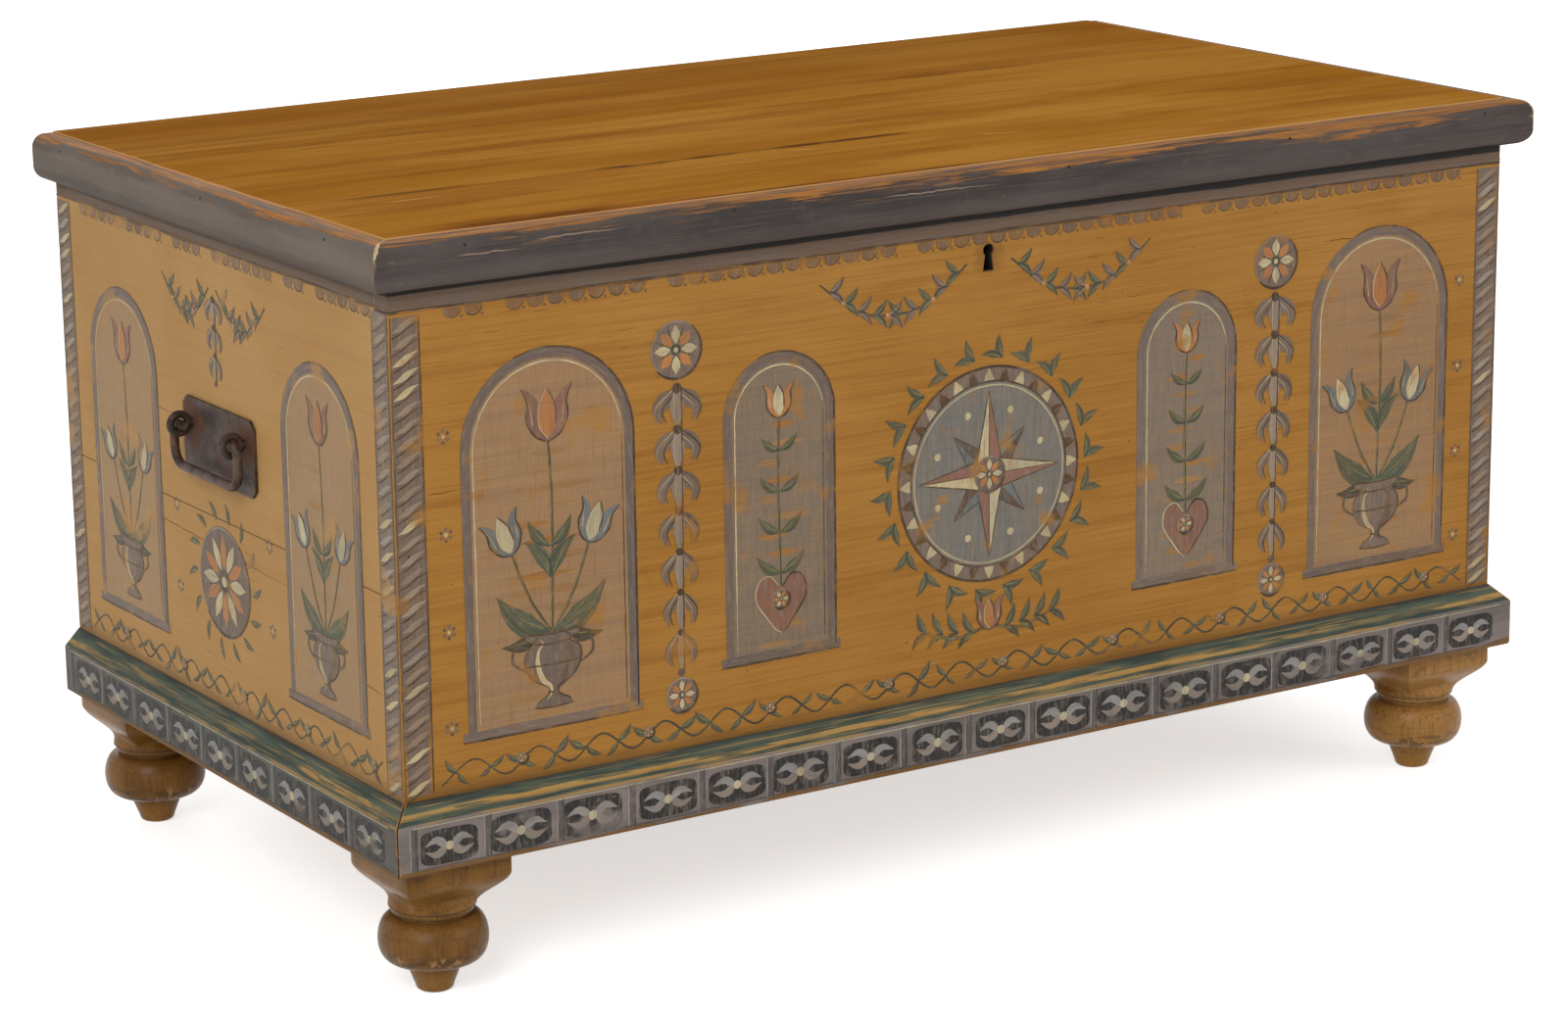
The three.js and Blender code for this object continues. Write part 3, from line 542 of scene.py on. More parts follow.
def top_band(recipe, colour, axis, shadow_line_strength):
    """The mauve-brown band under the lid, and a black line of painted shadow where the lid's moulding meets
    the case.
    """
    level = recipe.wobbly(recipe.z, RAGGED, along(axis, WEAR_LONG, WEAR_WIDE), 21)
    fuzz = recipe.wobbly(level, RAGGED / 2, along(axis, SCRATCH_LONG, FINE_WIDE), 22)
    band_z = BAND_LEVELS[axis]
    brushed = recipe.clouds(along(axis, DRY_LONG, DRY_WIDE), 3, 23)
    tone = recipe.mix(recipe.rise(brushed, 0.35, 0.7), MAUVE_BROWN, MAUVE)
    cover = recipe.between(recipe.rise(brushed, 0.80, 0.62), 0.60, 0.92)
    dark = recipe.both(recipe.spots(along(axis, WEAR_LONG, WEAR_LONG), 0.28, 0.48, 24), 0.85)
    # painted shadow: the black line just under the lid's moulding, thicker to the right
    tilted = recipe.plus(level, recipe.both(recipe.x, SHADOW_LINE_TILT))
    return recipe.laid(
        colour,
        (tone, recipe.edge(fuzz, band_z), cover),
        (INK, recipe.near(fuzz, band_z, BAND_LINE), dark),
        (BLACK, recipe.edge(tilted, SHADOW_LINE_LEVELS[axis]), shadow_line_strength),
    )


def darker_above_plinth(recipe, colour, axis):
    """Darker where the case meets the plinth."""
    level = recipe.wobbly(recipe.z, WEAR_WIDE, along(axis, WEAR_LONG, MOTTLE), 31)
    darker_band = recipe.rise(level, PLINTH_HIGH.z + 2 * WEAR_WIDE, PLINTH_HIGH.z)
    return recipe.laid(colour, (GRIME, darker_band, 0.45))


def thin_line(recipe, axes, start, end, half):
    """1 along a thin, wandering line between two points of a face."""
    run_across, rise_up = end[0] - start[0], end[1] - start[1]
    length = math.hypot(run_across, rise_up)
    cos, sin = run_across / length, rise_up / length
    aside = recipe.less(axes[0], start[0])
    up = recipe.less(axes[1], start[1])
    run = recipe.total((aside, cos), (up, sin))
    off = recipe.wobbly(recipe.total((up, cos), (aside, -sin)), CRACK_SWAY, MOTTLE, 55)
    within = recipe.both(recipe.rise(run, 0, length / 5), recipe.rise(run, length, length / 2))
    return recipe.both(recipe.near(off, 0, half), within)


def lined(recipe, colour, axes, lines, tone, half, share):
    """Cracks or scratches of one tone on a face."""
    layers = [(tone, thin_line(recipe, axes, start, end, half), share) for start, end in lines]
    return recipe.laid(colour, *layers)


def keyhole_shade(recipe, colour, inside):
    """Dirt round the keyhole, and painted shade: its sides black inside the board."""
    away = recipe.wobbly(recipe.distance_to(KEYHOLE_PLACE), KEYHOLE_STAIN / 2, SPECK, 9)
    deep = recipe.rise(recipe.y, CASE_FRONT, CASE_FRONT + KEYHOLE_SHADE_DEPTH)
    hole = recipe.rise(recipe.distance_to(KEYHOLE_MIDDLE), KEYHOLE_REACH, KEYHOLE_REACH / 2)
    return recipe.laid(
        colour,
        (GRIME, recipe.rise(away, KEYHOLE_STAIN, KEYHOLE_STAIN / 2), 0.3),
        (bare_tone(recipe, "x")[0], inside, 1),
        # painted shade: the keyhole's sides black
        (BLACK, recipe.both(deep, recipe.opposite(inside)), hole),
    )


def painted_front():
    recipe = Recipe("painted_front_ochre")
    side = recipe.rise(recipe.apart(recipe.facing[0], 0), 0.6, 0.8)
    colour, height = front_ground(recipe)
    # the board's end grain takes the ends' lighter ochre, in part painted sheen
    end_tone = recipe.mix(recipe.spots(SPECK, 0.4, 0.7, 8), END_OCHRE, END_OCHRE_DARK)
    colour = recipe.laid(colour, (end_tone, side, 1))
    colour = lined(recipe, colour, (recipe.x, recipe.z), FRONT_CRACKS, STAIN, CRACK_HALF, CRACK_SHARE)
    colour = darker_above_plinth(recipe, top_band(recipe, colour, "x", 0.96), "x")
    inside = recipe.rise(recipe.y, FRONT_INSIDE - 2 * SEAM_HALF, FRONT_INSIDE - SEAM_HALF)
    colour = keyhole_shade(recipe, colour, inside)
    roughness = recipe.between(recipe.clouds(SMALL_PATCH, seed=10), 0.5, 0.7)
    return recipe.finish(colour, roughness, height, RELIEF)


def bare_pine(axis):
    recipe = Recipe("bare_pine_along_" + axis)
    colour, height = bare_tone(recipe, axis)
    return recipe.finish(colour, 0.72, height, RELIEF, specular=0.2)


def back_pine():
    """Bare pine with painted board ends."""
    recipe = Recipe("back_board_pine")
    colour, height = bare_tone(recipe, "x")
    painted = end_ground(recipe)[0]
    painted = darker_above_plinth(recipe, top_band(recipe, painted, "y", 0.35), "y")
    side = recipe.rise(recipe.apart(recipe.facing[0], 0), 0.6, 0.8)
    return recipe.finish(recipe.mix(side, colour, painted), 0.68, height, RELIEF)


def painted_end():
    recipe = Recipe("painted_end_ochre")
    colour, height = end_ground(recipe)
    share = recipe.both(recipe.rise(recipe.x, 0, -CASE_HALF / 2), CRACK_SHARE)
    colour = lined(recipe, colour, (recipe.y, recipe.z), END_CRACKS, STAIN, CRACK_HALF, share)
    colour = darker_above_plinth(recipe, top_band(recipe, colour, "y", 0.35), "y")
    level = recipe.wobbly(recipe.z, SEAM_HALF, along("y", WEAR_LONG, WEAR_LONG), 51)
    inside = recipe.rise(recipe.apart(recipe.x, 0), CASE_HALF - SEAM_HALF, CASE_HALF - 2 * SEAM_HALF)
    colour = recipe.laid(
        colour,
        (GRIME, recipe.near(level, END_SEAM, SEAM_HALF), 0.45),
        (bare_tone(recipe, "y")[0], inside, 1),
    )
    roughness = recipe.between(recipe.clouds(SMALL_PATCH, seed=10), 0.48, 0.68)
    return recipe.finish(colour, roughness, height, RELIEF)


def mitre_gaps(recipe, half, front):
    """Distances inwards from the side face and from the front face."""
    return recipe.less(half, recipe.apart(recipe.x, 0)), recipe.less(recipe.y, front)


def moulding_tones_and_shading(recipe, axis, drop):
    """The moulding's paint and painted light: paler low on the front against its shade, and on the ends
    painted shade low down with a painted sheen band across the middle.
    """
    if axis == "x":
        colour, height = mauve_ground(recipe, axis, LID_MAUVE, LID_MAUVE_DARK, MAUVE)
        # painted light: the lower front paler, against the shade there
        low_painted_shading = recipe.rise(drop, PAINTED_LIGHT_DROP, MOULDING_TALL)
        return recipe.laid(colour, (MAUVE, low_painted_shading, 0.5)), height
    colour, height = mauve_ground(recipe, axis, END_MAUVE, END_MAUVE_DARK, END_MAUVE_LIGHT)
    # painted shade: the ends darker low down
    low_painted_shading = recipe.rise(drop, MOULDING_ROUNDING, 3 * MOULDING_ROUNDING)
    # painted sheen: a lighter band across the middle of the ends' profile
    swayed = recipe.wobbly(drop, MOTTLE, along(axis, PATCH, PATCH), 60)
    middle = recipe.near(swayed, 1.6 * MOULDING_ROUNDING, MOULDING_ROUNDING)
    colour = recipe.laid(colour, (END_MAUVE_DARK, low_painted_shading, 0.45), (END_MAUVE_LIGHT, middle, 0.3))
    return colour, height


def moulding_wear(recipe, axis, drop, gap, run):
    """How far the paint is rubbed through, from the inner top edge outwards."""
    thickness = MOULDING_HIGH.y - MOULDING_LOW.y
    reach = recipe.plus(recipe.less(thickness, gap), drop)
    calm = recipe.between(recipe.rise(run, 0, MITRE_CALM), 0.5, 1)
    bare_reach = recipe.both(calm, BARE_REACH[axis])
    if axis == "x":
        right = recipe.rise(recipe.x, MOULDING_HALF / 4, MOULDING_HALF * 0.8)
        bare_reach = recipe.plus(bare_reach, recipe.both(right, RIGHT_BARE_REACH))
    swayed = reach
    for index, (sway, long, wide) in enumerate(WEAR_SWAYS):
        swayed = recipe.wobbly(swayed, sway, along(axis, long, wide), 62 + index)
    rubbed = recipe.opposite(recipe.edge(recipe.less(swayed, bare_reach), 0))
    kept = recipe.spots(along(axis, 2 * WEAR_LONG, WEAR_WIDE), 0.52, 0.58, 54, 6)
    rubbed = recipe.both(rubbed, recipe.between(kept, 1, 0.15))
    worn = recipe.spots(along(axis, WEAR_LONG, WEAR_WIDE / 2), 0.60, 0.66, 65, 5)
    patches = recipe.both(worn, recipe.rise(reach, *PATCH_FADE))
    dry = recipe.spots(along(axis, DRY_LONG, DRY_WIDE), 0.66, 0.72, 66)
    streaks = recipe.both(dry, recipe.rise(reach, *STREAK_FADE))
    thinned = recipe.either(recipe.both(patches, 0.75), recipe.both(streaks, 0.6))
    return recipe.either(recipe.both(rubbed, 0.94), thinned)


def moulding_mitre(recipe, colour, drop, off):
    """Cream and brown flakes along the mitre."""
    off = recipe.wobbly(off, 2 * RAGGED, MOTTLE, 67)
    low = recipe.rise(drop, MITRE_BRIGHT_DROP, 2 * MITRE_BRIGHT_DROP)
    flakes = recipe.between(recipe.spots(SPECK, 0.40, 0.54, 59), 0.2, 0.9)
    fading = recipe.between(recipe.rise(drop, MITRE_FLECK_DROP, MITRE_BRIGHT_DROP), 0.45, 1)
    joint = recipe.rise(off, MITRE_HALF, MITRE_HALF / 2)
    cream = recipe.mix(low, WORN_CREAM, BARE_BROWN)
    return recipe.laid(colour, (cream, joint, recipe.both(flakes, fading)))


def moulding_paint(axis):
    """Mauve-grey over bare wood, rubbed through along the top and at the mitres."""
    recipe = Recipe("moulding_mauve_along_" + axis)
    side_gap, front_gap = mitre_gaps(recipe, MOULDING_HALF, MOULDING_LOW.y)
    gap, run = (front_gap, side_gap) if axis == "x" else (side_gap, front_gap)
    drop = recipe.less(MOULDING_HIGH.z, recipe.z)
    colour, height = moulding_tones_and_shading(recipe, axis, drop)
    wear = moulding_wear(recipe, axis, drop, gap, run)
    brown = recipe.spots(along(axis, WEAR_LONG, 2 * FINE_WIDE), 0.35, 0.65, 61)
    spots = recipe.spots(along(axis, MOTTLE, FINE_WIDE), 0.62, 0.72, 57, 5)
    spots = recipe.both(spots, recipe.rise(run, MITRE_CALM / 2, 0))
    spots = recipe.either(recipe.spots(MOTTLE, 0.68, 0.76, 69, 5), spots)
    bare = recipe.mix(brown, BARE_BROWN, BARE_EDGE)
    colour = recipe.laid(colour, (bare, wear, 1), (BARE_EDGE, spots, 0.55))
    if axis == "x":
        axes = (recipe.x, recipe.z)
        colour = lined(recipe, colour, axes, MOULDING_SCRATCHES, SCRATCH_PALE, CRACK_HALF, 0.6)
        # painted shadow: the front moulding's lowest edge painted black
        level = recipe.wobbly(drop, RAGGED / 2, along(axis, WEAR_LONG, WEAR_LONG), 56)
        colour = recipe.laid(colour, (BLACK, recipe.edge(level, SHADOW_EDGE_DROP), 0.96))
    colour = moulding_mitre(recipe, colour, drop, recipe.apart(side_gap, front_gap))
    roughness = recipe.between(recipe.clouds(SMALL_PATCH, seed=68), 0.45, 0.65)
    height = recipe.total((height, 1), (wear, -0.5))
    return recipe.finish(colour, roughness, height, RELIEF, specular=0.02)


def plinth_face(recipe, axis):
    """The plinth's mauve-grey face, mossy on the ends."""
    if axis == "x":
        return mauve_ground(recipe, axis, PLINTH_MAUVE, PLINTH_DARK, MAUVE_LIGHT)
    face, height = mauve_ground(recipe, axis, MAUVE, MAUVE_DARK, MAUVE_LIGHT)
    mossy = recipe.spots(along(axis, PATCH, SMALL_PATCH), 0.34, 0.60, 70)
    return recipe.laid(face, (GREEN, mossy, 0.5)), height


def plinth_slope(recipe, axis, drift):
    """The plinth's green slope, dark at its top, with a broken ochre streak."""
    dry = recipe.clouds(along(axis, DRY_LONG, DRY_WIDE), 4, 72)
    top_line = recipe.rise(recipe.z, PLINTH_HIGH.z - 2 * RAGGED, PLINTH_HIGH.z - RAGGED)
    level = recipe.wobbly(recipe.z, 2 * RAGGED, along(axis, PATCH, PATCH), 73)
    level = recipe.wobbly(level, RAGGED, along(axis, DRY_LONG, FINE_WIDE), 74)
    below = recipe.opposite(recipe.edge(level, SLOPE_STREAK_HIGH))
    streak = recipe.both(recipe.edge(level, SLOPE_STREAK_LOW), below)
    broken = recipe.spots(along(axis, PATCH, SMALL_PATCH), *STREAK_BREAK_SHARES[axis], 79, 5)
    torn = recipe.spots(along(axis, WEAR_LONG, WEAR_WIDE / 2), 0.44, 0.49, 53, 8)
    share = recipe.both(recipe.between(broken, 0.1, 0.95), recipe.between(torn, 0.2, 1))
    ochre = recipe.mix(recipe.rise(dry, 0.4, 0.7), SLOPE_OCHRE, OCHRE_LIGHT)
    return recipe.laid(
        SLOPE_DARK,
        (SLOPE_GREEN, recipe.rise(drift, 0.35, 0.65), 1),
        (SLOPE_TAN, recipe.rise(dry, 0.57, 0.62), 0.7),
        (INK, top_line, 0.6),
        (ochre, streak, share),
    )


def plinth_ground(recipe, axis):
    """Green slope with ochre streaks over a mauve-grey face."""
    face, height = plinth_face(recipe, axis)
    drift = recipe.clouds(along(axis, WEAR_LONG, WEAR_WIDE), 4, 71)
    arris_level = recipe.wobbly(recipe.z, RAGGED / 2, along(axis, WEAR_LONG, MOTTLE), 75)
    arris = recipe.near(arris_level, SLOPE_ARRIS_Z, ARRIS_HALF)
    on_slope = recipe.rise(recipe.z, SLOPE_ARRIS_Z, SLOPE_ARRIS_Z + ARRIS_HALF)
    foot = recipe.wobbly(recipe.z, 4 * RAGGED, along(axis, WEAR_LONG, MOTTLE), 76)
    foot = recipe.wobbly(foot, RAGGED, along(axis, SCRATCH_LONG, FINE_WIDE), 80)
    colour = recipe.laid(
        face,
        (plinth_slope(recipe, axis, drift), on_slope, 1),
        (SLOPE_TAN, recipe.both(arris, recipe.rise(drift, 0.42, 0.56)), 0.8),
        (FOOT_BROWN, recipe.rise(foot, PLINTH_WORN_Z, PLINTH_WORN_Z - RAGGED), 0.85),
    )
    return colour, height


def plinth_paint(axis):
    """The plinth's ground, with a dark joint and pale flecks at the mitre."""
    recipe = Recipe("plinth_paint_along_" + axis)
    colour, height = plinth_ground(recipe, axis)
    off = recipe.apart(*mitre_gaps(recipe, PLINTH_HALF, PLINTH_LOW.y))
    ragged = recipe.wobbly(off, RAGGED, SPECK, 77)
    flecks = recipe.rise(ragged, 1.4 * MITRE_HALF, MITRE_HALF)
    colour = recipe.laid(
        colour,
        (BARE_EDGE, recipe.both(flecks, recipe.spots(SPECK, 0.44, 0.54, 58)), 0.8),
        (GRIME, recipe.rise(off, MITRE_HALF / 2, MITRE_HALF / 3), 1),
    )
    roughness = recipe.between(recipe.clouds(SMALL_PATCH, seed=78), 0.45, 0.66)
    return recipe.finish(colour, roughness, height, RELIEF)


def lid_grain(recipe):
    """Oiled pine, each board with its own rings, streaks and smudges: its colour and its relief."""
    middle = recipe.rise(recipe.y, SEAM_FRONT, SEAM_FRONT + SEAM_HALF)
    rear = recipe.rise(recipe.y, SEAM_REAR - SEAM_HALF, SEAM_REAR)
    shifted = recipe.nodes.new("ShaderNodeCombineXYZ")
    moved_x = recipe.total((recipe.x, 1), (middle, MIDDLE_BOARD_SHIFT), (rear, REAR_BOARD_SHIFT))
    for socket, value in zip(shifted.inputs, (moved_x, recipe.y, recipe.z)):
        recipe.feed(socket, value)

    def clouds(long, wide, detail, seed, roughness=0.55):
        return recipe.clouds(along("x", long, wide), detail, seed, shifted.outputs[0], roughness)

    streaks = clouds(GRAIN_LONG, GRAIN_WIDE, 5, 82)
    fine = clouds(FINE_LONG, FINE_WIDE, 3, 83)
    smudges = clouds(PATCH, SMALL_PATCH, 6, 96, 0.65)
    colour = recipe.laid(
        LID_BROWN,
        (LID_LIGHT, recipe.rise(clouds(2 * PATCH, PATCH / 2, 3, 84), 0.36, 0.66), 1),
        (LID_STREAK, recipe.rise(clouds(RINGS_LONG, RINGS_WIDE, 6, 81, 0.6), 0.50, 0.70), 0.55),
        (LID_STREAK, recipe.rise(streaks, 0.52, 0.76), 0.45),
        (LID_STREAK, recipe.rise(fine, 0.52, 0.72), 0.26),
        (LID_LIGHT, recipe.rise(fine, 0.46, 0.26), 0.36),
        (LID_RED, recipe.rise(smudges, 0.52, 0.68), 0.38),
        (LID_LIGHT, recipe.rise(smudges, 0.46, 0.32), 0.35),
        (LID_FLECK, recipe.rise(clouds(SCRATCH_LONG, FINE_WIDE, 2, 85), 0.72, 0.80), 0.5),
        (RED_STAIN, recipe.rise(clouds(SCRATCH_LONG, 2 * FINE_WIDE, 4, 97), 0.66, 0.76), 0.5),
        (LID_RED, recipe.rise(clouds(2 * PATCH, PATCH / 3, 3, 95), 0.52, 0.68), 0.35),
        # darker towards the rear
        (LID_STREAK, recipe.rise(recipe.y, 0, LID_HIGH.y), 0.4),
    )
    return colour, recipe.total((fine, 0.5), (streaks, 0.7), (recipe.clouds(WAVE, 1), 2.5))


def stretch(recipe, mark):
    """1 along a stretch of the lid, fading at its ends."""
    start = recipe.rise(recipe.x, mark["from"], mark["from"] + WEAR_LONG)
    return recipe.both(start, recipe.rise(recipe.x, mark["to"], mark["to"] - WEAR_LONG))


def lid_seams(recipe, colour):
    """Seams between the lid's boards, dark and stained along some stretches."""
    for index, (level, marks) in enumerate(zip((SEAM_FRONT, SEAM_REAR), SEAM_MARKS)):
        marked = 0.0
        for mark in marks:
            marked = recipe.either(recipe.both(stretch(recipe, mark), mark["share"]), marked)
        deep = recipe.wobbly(recipe.y, SEAM_STREAK, along("x", PATCH, PATCH), 86 + index)
        broken = recipe.spots(along("x", WEAR_LONG, WEAR_LONG), 0.38, 0.56, 88 + index, 3)
        seam = recipe.near(recipe.y, level, 1.5 * SEAM_HALF)
        colour = recipe.laid(
            colour,
            (STAIN, recipe.both(recipe.near(deep, level, SEAM_STREAK), broken), marked),
            (GRIME, seam, recipe.between(marked, 0.25, 1)),
        )
    return colour


def lid_edges(recipe, colour):
    """Stains behind the front moulding, a pale outer edge and a bare underside."""
    front_gap = recipe.less(recipe.y, LID_LOW.y)
    for index, mark in enumerate(EDGE_STAINS):
        deep = mark["deep"]
        ragged = recipe.wobbly(front_gap, deep / 2, along("x", WEAR_LONG, MOTTLE), 91 + index)
        stain = recipe.both(recipe.rise(ragged, deep, deep / 3), stretch(recipe, mark))
        colour = recipe.laid(colour, (RED_STAIN, stain, 0.75))
    side_gap = recipe.less(LID_HIGH.x, recipe.apart(recipe.x, 0))
    nearest = recipe.math("MINIMUM", side_gap, front_gap)
    edge_gap = recipe.wobbly(nearest, RAGGED / 2, WEAR_LONG, 94)
    return recipe.laid(
        colour,
        (BARE_PALE, recipe.rise(edge_gap, LID_EDGE, LID_EDGE / 2), 0.8),
        (bare_tone(recipe, "x")[0], recipe.rise(recipe.facing[2], -0.6, -0.8), 1),
    )


def lid_pine():
    recipe = Recipe("lid_pine")
    colour, height = lid_grain(recipe)
    colour = lid_seams(recipe, colour)
    axes = (recipe.x, recipe.y)
    colour = lined(recipe, colour, axes, LID_SCRATCHES, LID_FLECK, LID_SCRATCH_HALF, 0.6)
    colour = lid_edges(recipe, colour)
    roughness = recipe.between(recipe.clouds(SMALL_PATCH, seed=93), 0.5, 0.7)
    return recipe.finish(colour, roughness, height, RELIEF, specular=0.001)


def foot_pine():
    """Turned pine: golden square block, dirty ball with chips, worn toe; painted light makes the right feet
    paler.
    """
    recipe = Recipe("turned_foot_pine")
    fine = recipe.clouds(along("z", WEAR_LONG, FINE_WIDE), 4, 101)
    turned = recipe.clouds((WAVE, WAVE, FINE_WIDE), 4, 102)
    patches = recipe.clouds(SMALL_PATCH, 4, 103)
    right = recipe.rise(recipe.x, 0, CASE_HALF / 2)
    level = recipe.wobbly(recipe.z, WEAR_WIDE, SMALL_PATCH, 104)
    ball = recipe.near(level, TOE_HEIGHT + BALL_HEIGHT * 0.62, BALL_HEIGHT * 0.62)
    colour = recipe.laid(
        FOOT_BROWN,
        (FOOT_LIGHT, recipe.rise(patches, 0.38, 0.66), 1),
        # painted light: the right feet paler, against the chest's shade
        (FOOT_PAINTED_LIGHT, right, 1),
        (FOOT_DARK, recipe.rise(fine, 0.46, 0.66), 0.5),
        (FOOT_DARK, recipe.rise(turned, 0.52, 0.72), 0.4),
        # the ball's dirt, less on the right feet as painted light against their shade
        (FOOT_DARK, ball, recipe.between(right, 0.35, 0.1)),
        (FOOT_LIGHT, recipe.rise(recipe.z, TOE_HEIGHT, TOE_HEIGHT / 2), 0.5),
    )
    for groove in (TOE_HEIGHT, RING_LOW, RING_LOW + RING_HEIGHT):
        ragged = recipe.wobbly(recipe.z, RAGGED / 2, MOTTLE, 105)
        colour = recipe.laid(colour, (GRIME, recipe.near(ragged, groove, RAGGED), 0.5))
    below = recipe.rise(recipe.z, TOE_HEIGHT + BALL_HEIGHT / 2, TOE_HEIGHT + BALL_HEIGHT / 4)
    low_zone = recipe.both(below, recipe.rise(recipe.z, TOE_HEIGHT - RAGGED, TOE_HEIGHT))
    scuffs = recipe.spots(MOTTLE, 0.60, 0.72, 107, 5)
    colour = recipe.laid(
        colour,
        (GRIME, recipe.both(recipe.spots((MOTTLE, MOTTLE, SPECK), 0.46, 0.56, 108, 5), low_zone), 0.6),
        (CHIP_BROWN, recipe.both(recipe.spots((SPECK, SPECK, MOTTLE), 0.58, 0.64, 106, 3), low_zone), 0.7),
        (GRIME, scuffs, 0.45),
    )
    height = recipe.total((turned, 0.9), (fine, 0.4), (scuffs, -0.5))
    return recipe.finish(colour, recipe.between(patches, 0.26, 0.4), height, RELIEF, specular=0.14)


def iron(name, tone, rust_share, eyes=()):
    """Old wrought iron: dark, mottled with rust, rubbed bright on its raised parts."""
    recipe = Recipe(name)
    mottle = recipe.clouds(MOTTLE, 6, 111)
    pits = recipe.clouds(PIT, 3, 112)
    rust = recipe.both(recipe.spots(SMALL_PATCH, 0.46, 0.66, 113, 6), rust_share)
    for eye in eyes:
        away = recipe.wobbly(recipe.distance_to(eye), WEAR_WIDE, MOTTLE, 114)
        near = recipe.rise(away, EYE_RUST_REACH, EYE_RUST_REACH / 2)
        rust = recipe.either(rust, recipe.both(near, 0.75))
    colour = recipe.laid(
        IRON_DARK,
        (tone, recipe.rise(mottle, 0.35, 0.65), 1),
        (IRON_LIGHT, recipe.rise(pits, 0.5, 0.75), 0.35),
        (RUST, rust, 1),
    )
    height = recipe.total((mottle, 1), (pits, 0.35))
    roughness = recipe.between(rust, 0.45, 0.8)
    return recipe.finish(colour, roughness, height, IRON_RELIEF, specular=0.16, metallic=0.1)


def nail_iron():
    recipe = Recipe("nail_iron")
    mottle = recipe.clouds(SPECK, 3, 115)
    return recipe.finish(recipe.mix(mottle, IRON_DARK, BLACK), 0.7, mottle, RELIEF, specular=0.2)


def brushwork(name, ground):
    """Brush strokes: each stroke's own colour, streaked by bristles and worn to the ground."""
    recipe = Recipe(name)
    below, height = ground(recipe)
    stroke = recipe.attribute("stroke").outputs["Vector"]
    tint = recipe.attribute("tint")
    streak = recipe.clouds((BRISTLE_LONG, BRISTLE_WIDE, 1), 3, 121, stroke)
    drift = recipe.clouds((MOTTLE, WEAR_WIDE / 2, 1), 3, 122, stroke)
    colour = recipe.laid(
        tint.outputs["Color"],
        (INK, recipe.rise(streak, 0.48, 0.74), 0.50),
        (MAUVE_LIGHT, recipe.rise(drift, 0.48, 0.70), 0.38),
    )
    cover = tint.outputs["Alpha"]
    wear = recipe.spots(SMALL_PATCH, 0.56, 0.68, 123, 6)
    rubbed = recipe.spots(SPECK, 0.62, 0.72, 124)
    thin = recipe.rise(streak, 0.42, 0.28)
    for mask, left in ((wear, 0.28), (rubbed, 0.5), (thin, 0.4)):
        cover = recipe.both(cover, recipe.between(mask, 1, left))
    height = recipe.plus(recipe.both(streak, 0.8), height)
    roughness = recipe.between(cover, 0.56, 0.48)
    return recipe.finish(recipe.mix(cover, below, colour), roughness, height, RELIEF)


# Meshes

def placed(name, data):
    """A new object in the scene."""
    made = bpy.data.objects.new(name, data)
    bpy.context.scene.collection.objects.link(made)
    return made


def piece(name, points, faces, material, body, slot):
    mesh = bpy.data.meshes.new(name)
    mesh.from_pydata(points, [], faces)
    mesh.materials.append(material)
    mesh.update()
    made = placed(name, mesh)
    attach(made, body)
    return made


def smooth(made):
    made.data.shade_smooth()
    made.data.set_sharp_from_angle(angle=SHARP_ANGLE)


def circle(centre, aside, other, radius, sides):
    """Points round a centre, in the plane of two directions."""
    turns = [TURN * side / sides for side in range(sides)]
    return [centre + (aside * math.cos(turn) + other * math.sin(turn)) * radius for turn in turns]


def ring_faces(count, sides, closed=False):
    """Faces between successive rings of points, each of the same number of sides."""
    faces = []
    for ring in range(count if closed else count - 1):
        low = ring * sides
        high = (ring + 1) % count * sides
        for side in range(sides):
            after = (side + 1) % sides
            faces.append((low + side, low + after, high + after, high + side))
    return faces


def capped(count, sides):
    """Faces between successive rings of points, closed at both ends."""
    last = (count - 1) * sides
    return ring_faces(count, sides) + [tuple(reversed(range(sides))), tuple(range(last, last + sides))]


def tube(route, radii, sides):
    """Points and faces of a closed round rod along a route."""
    points = []
    previous = None
    for index, point in enumerate(route):
        ahead = route[min(index + 1, len(route) - 1)]
        behind = route[max(index - 1, 0)]
        direction = (ahead - behind).normalized()
        if previous is None:
            aside = direction.orthogonal().normalized()
        else:
            aside = (previous - direction * previous.dot(direction)).normalized()
        previous = aside
        points += circle(point, aside, direction.cross(aside), radii[index], sides)
    return points, capped(len(route), sides)


def joined(parts):
    """Several (points, faces) as one."""
    points, faces = [], []
    for more_points, more_faces in parts:
        start = len(points)
        points.extend(more_points)
        faces.extend(tuple(start + corner for corner in face) for face in more_faces)
    return points, faces


# Feet

def eased(share):
    """An S-curve from 0 to 1."""
    return share * share * (3 - 2 * share)


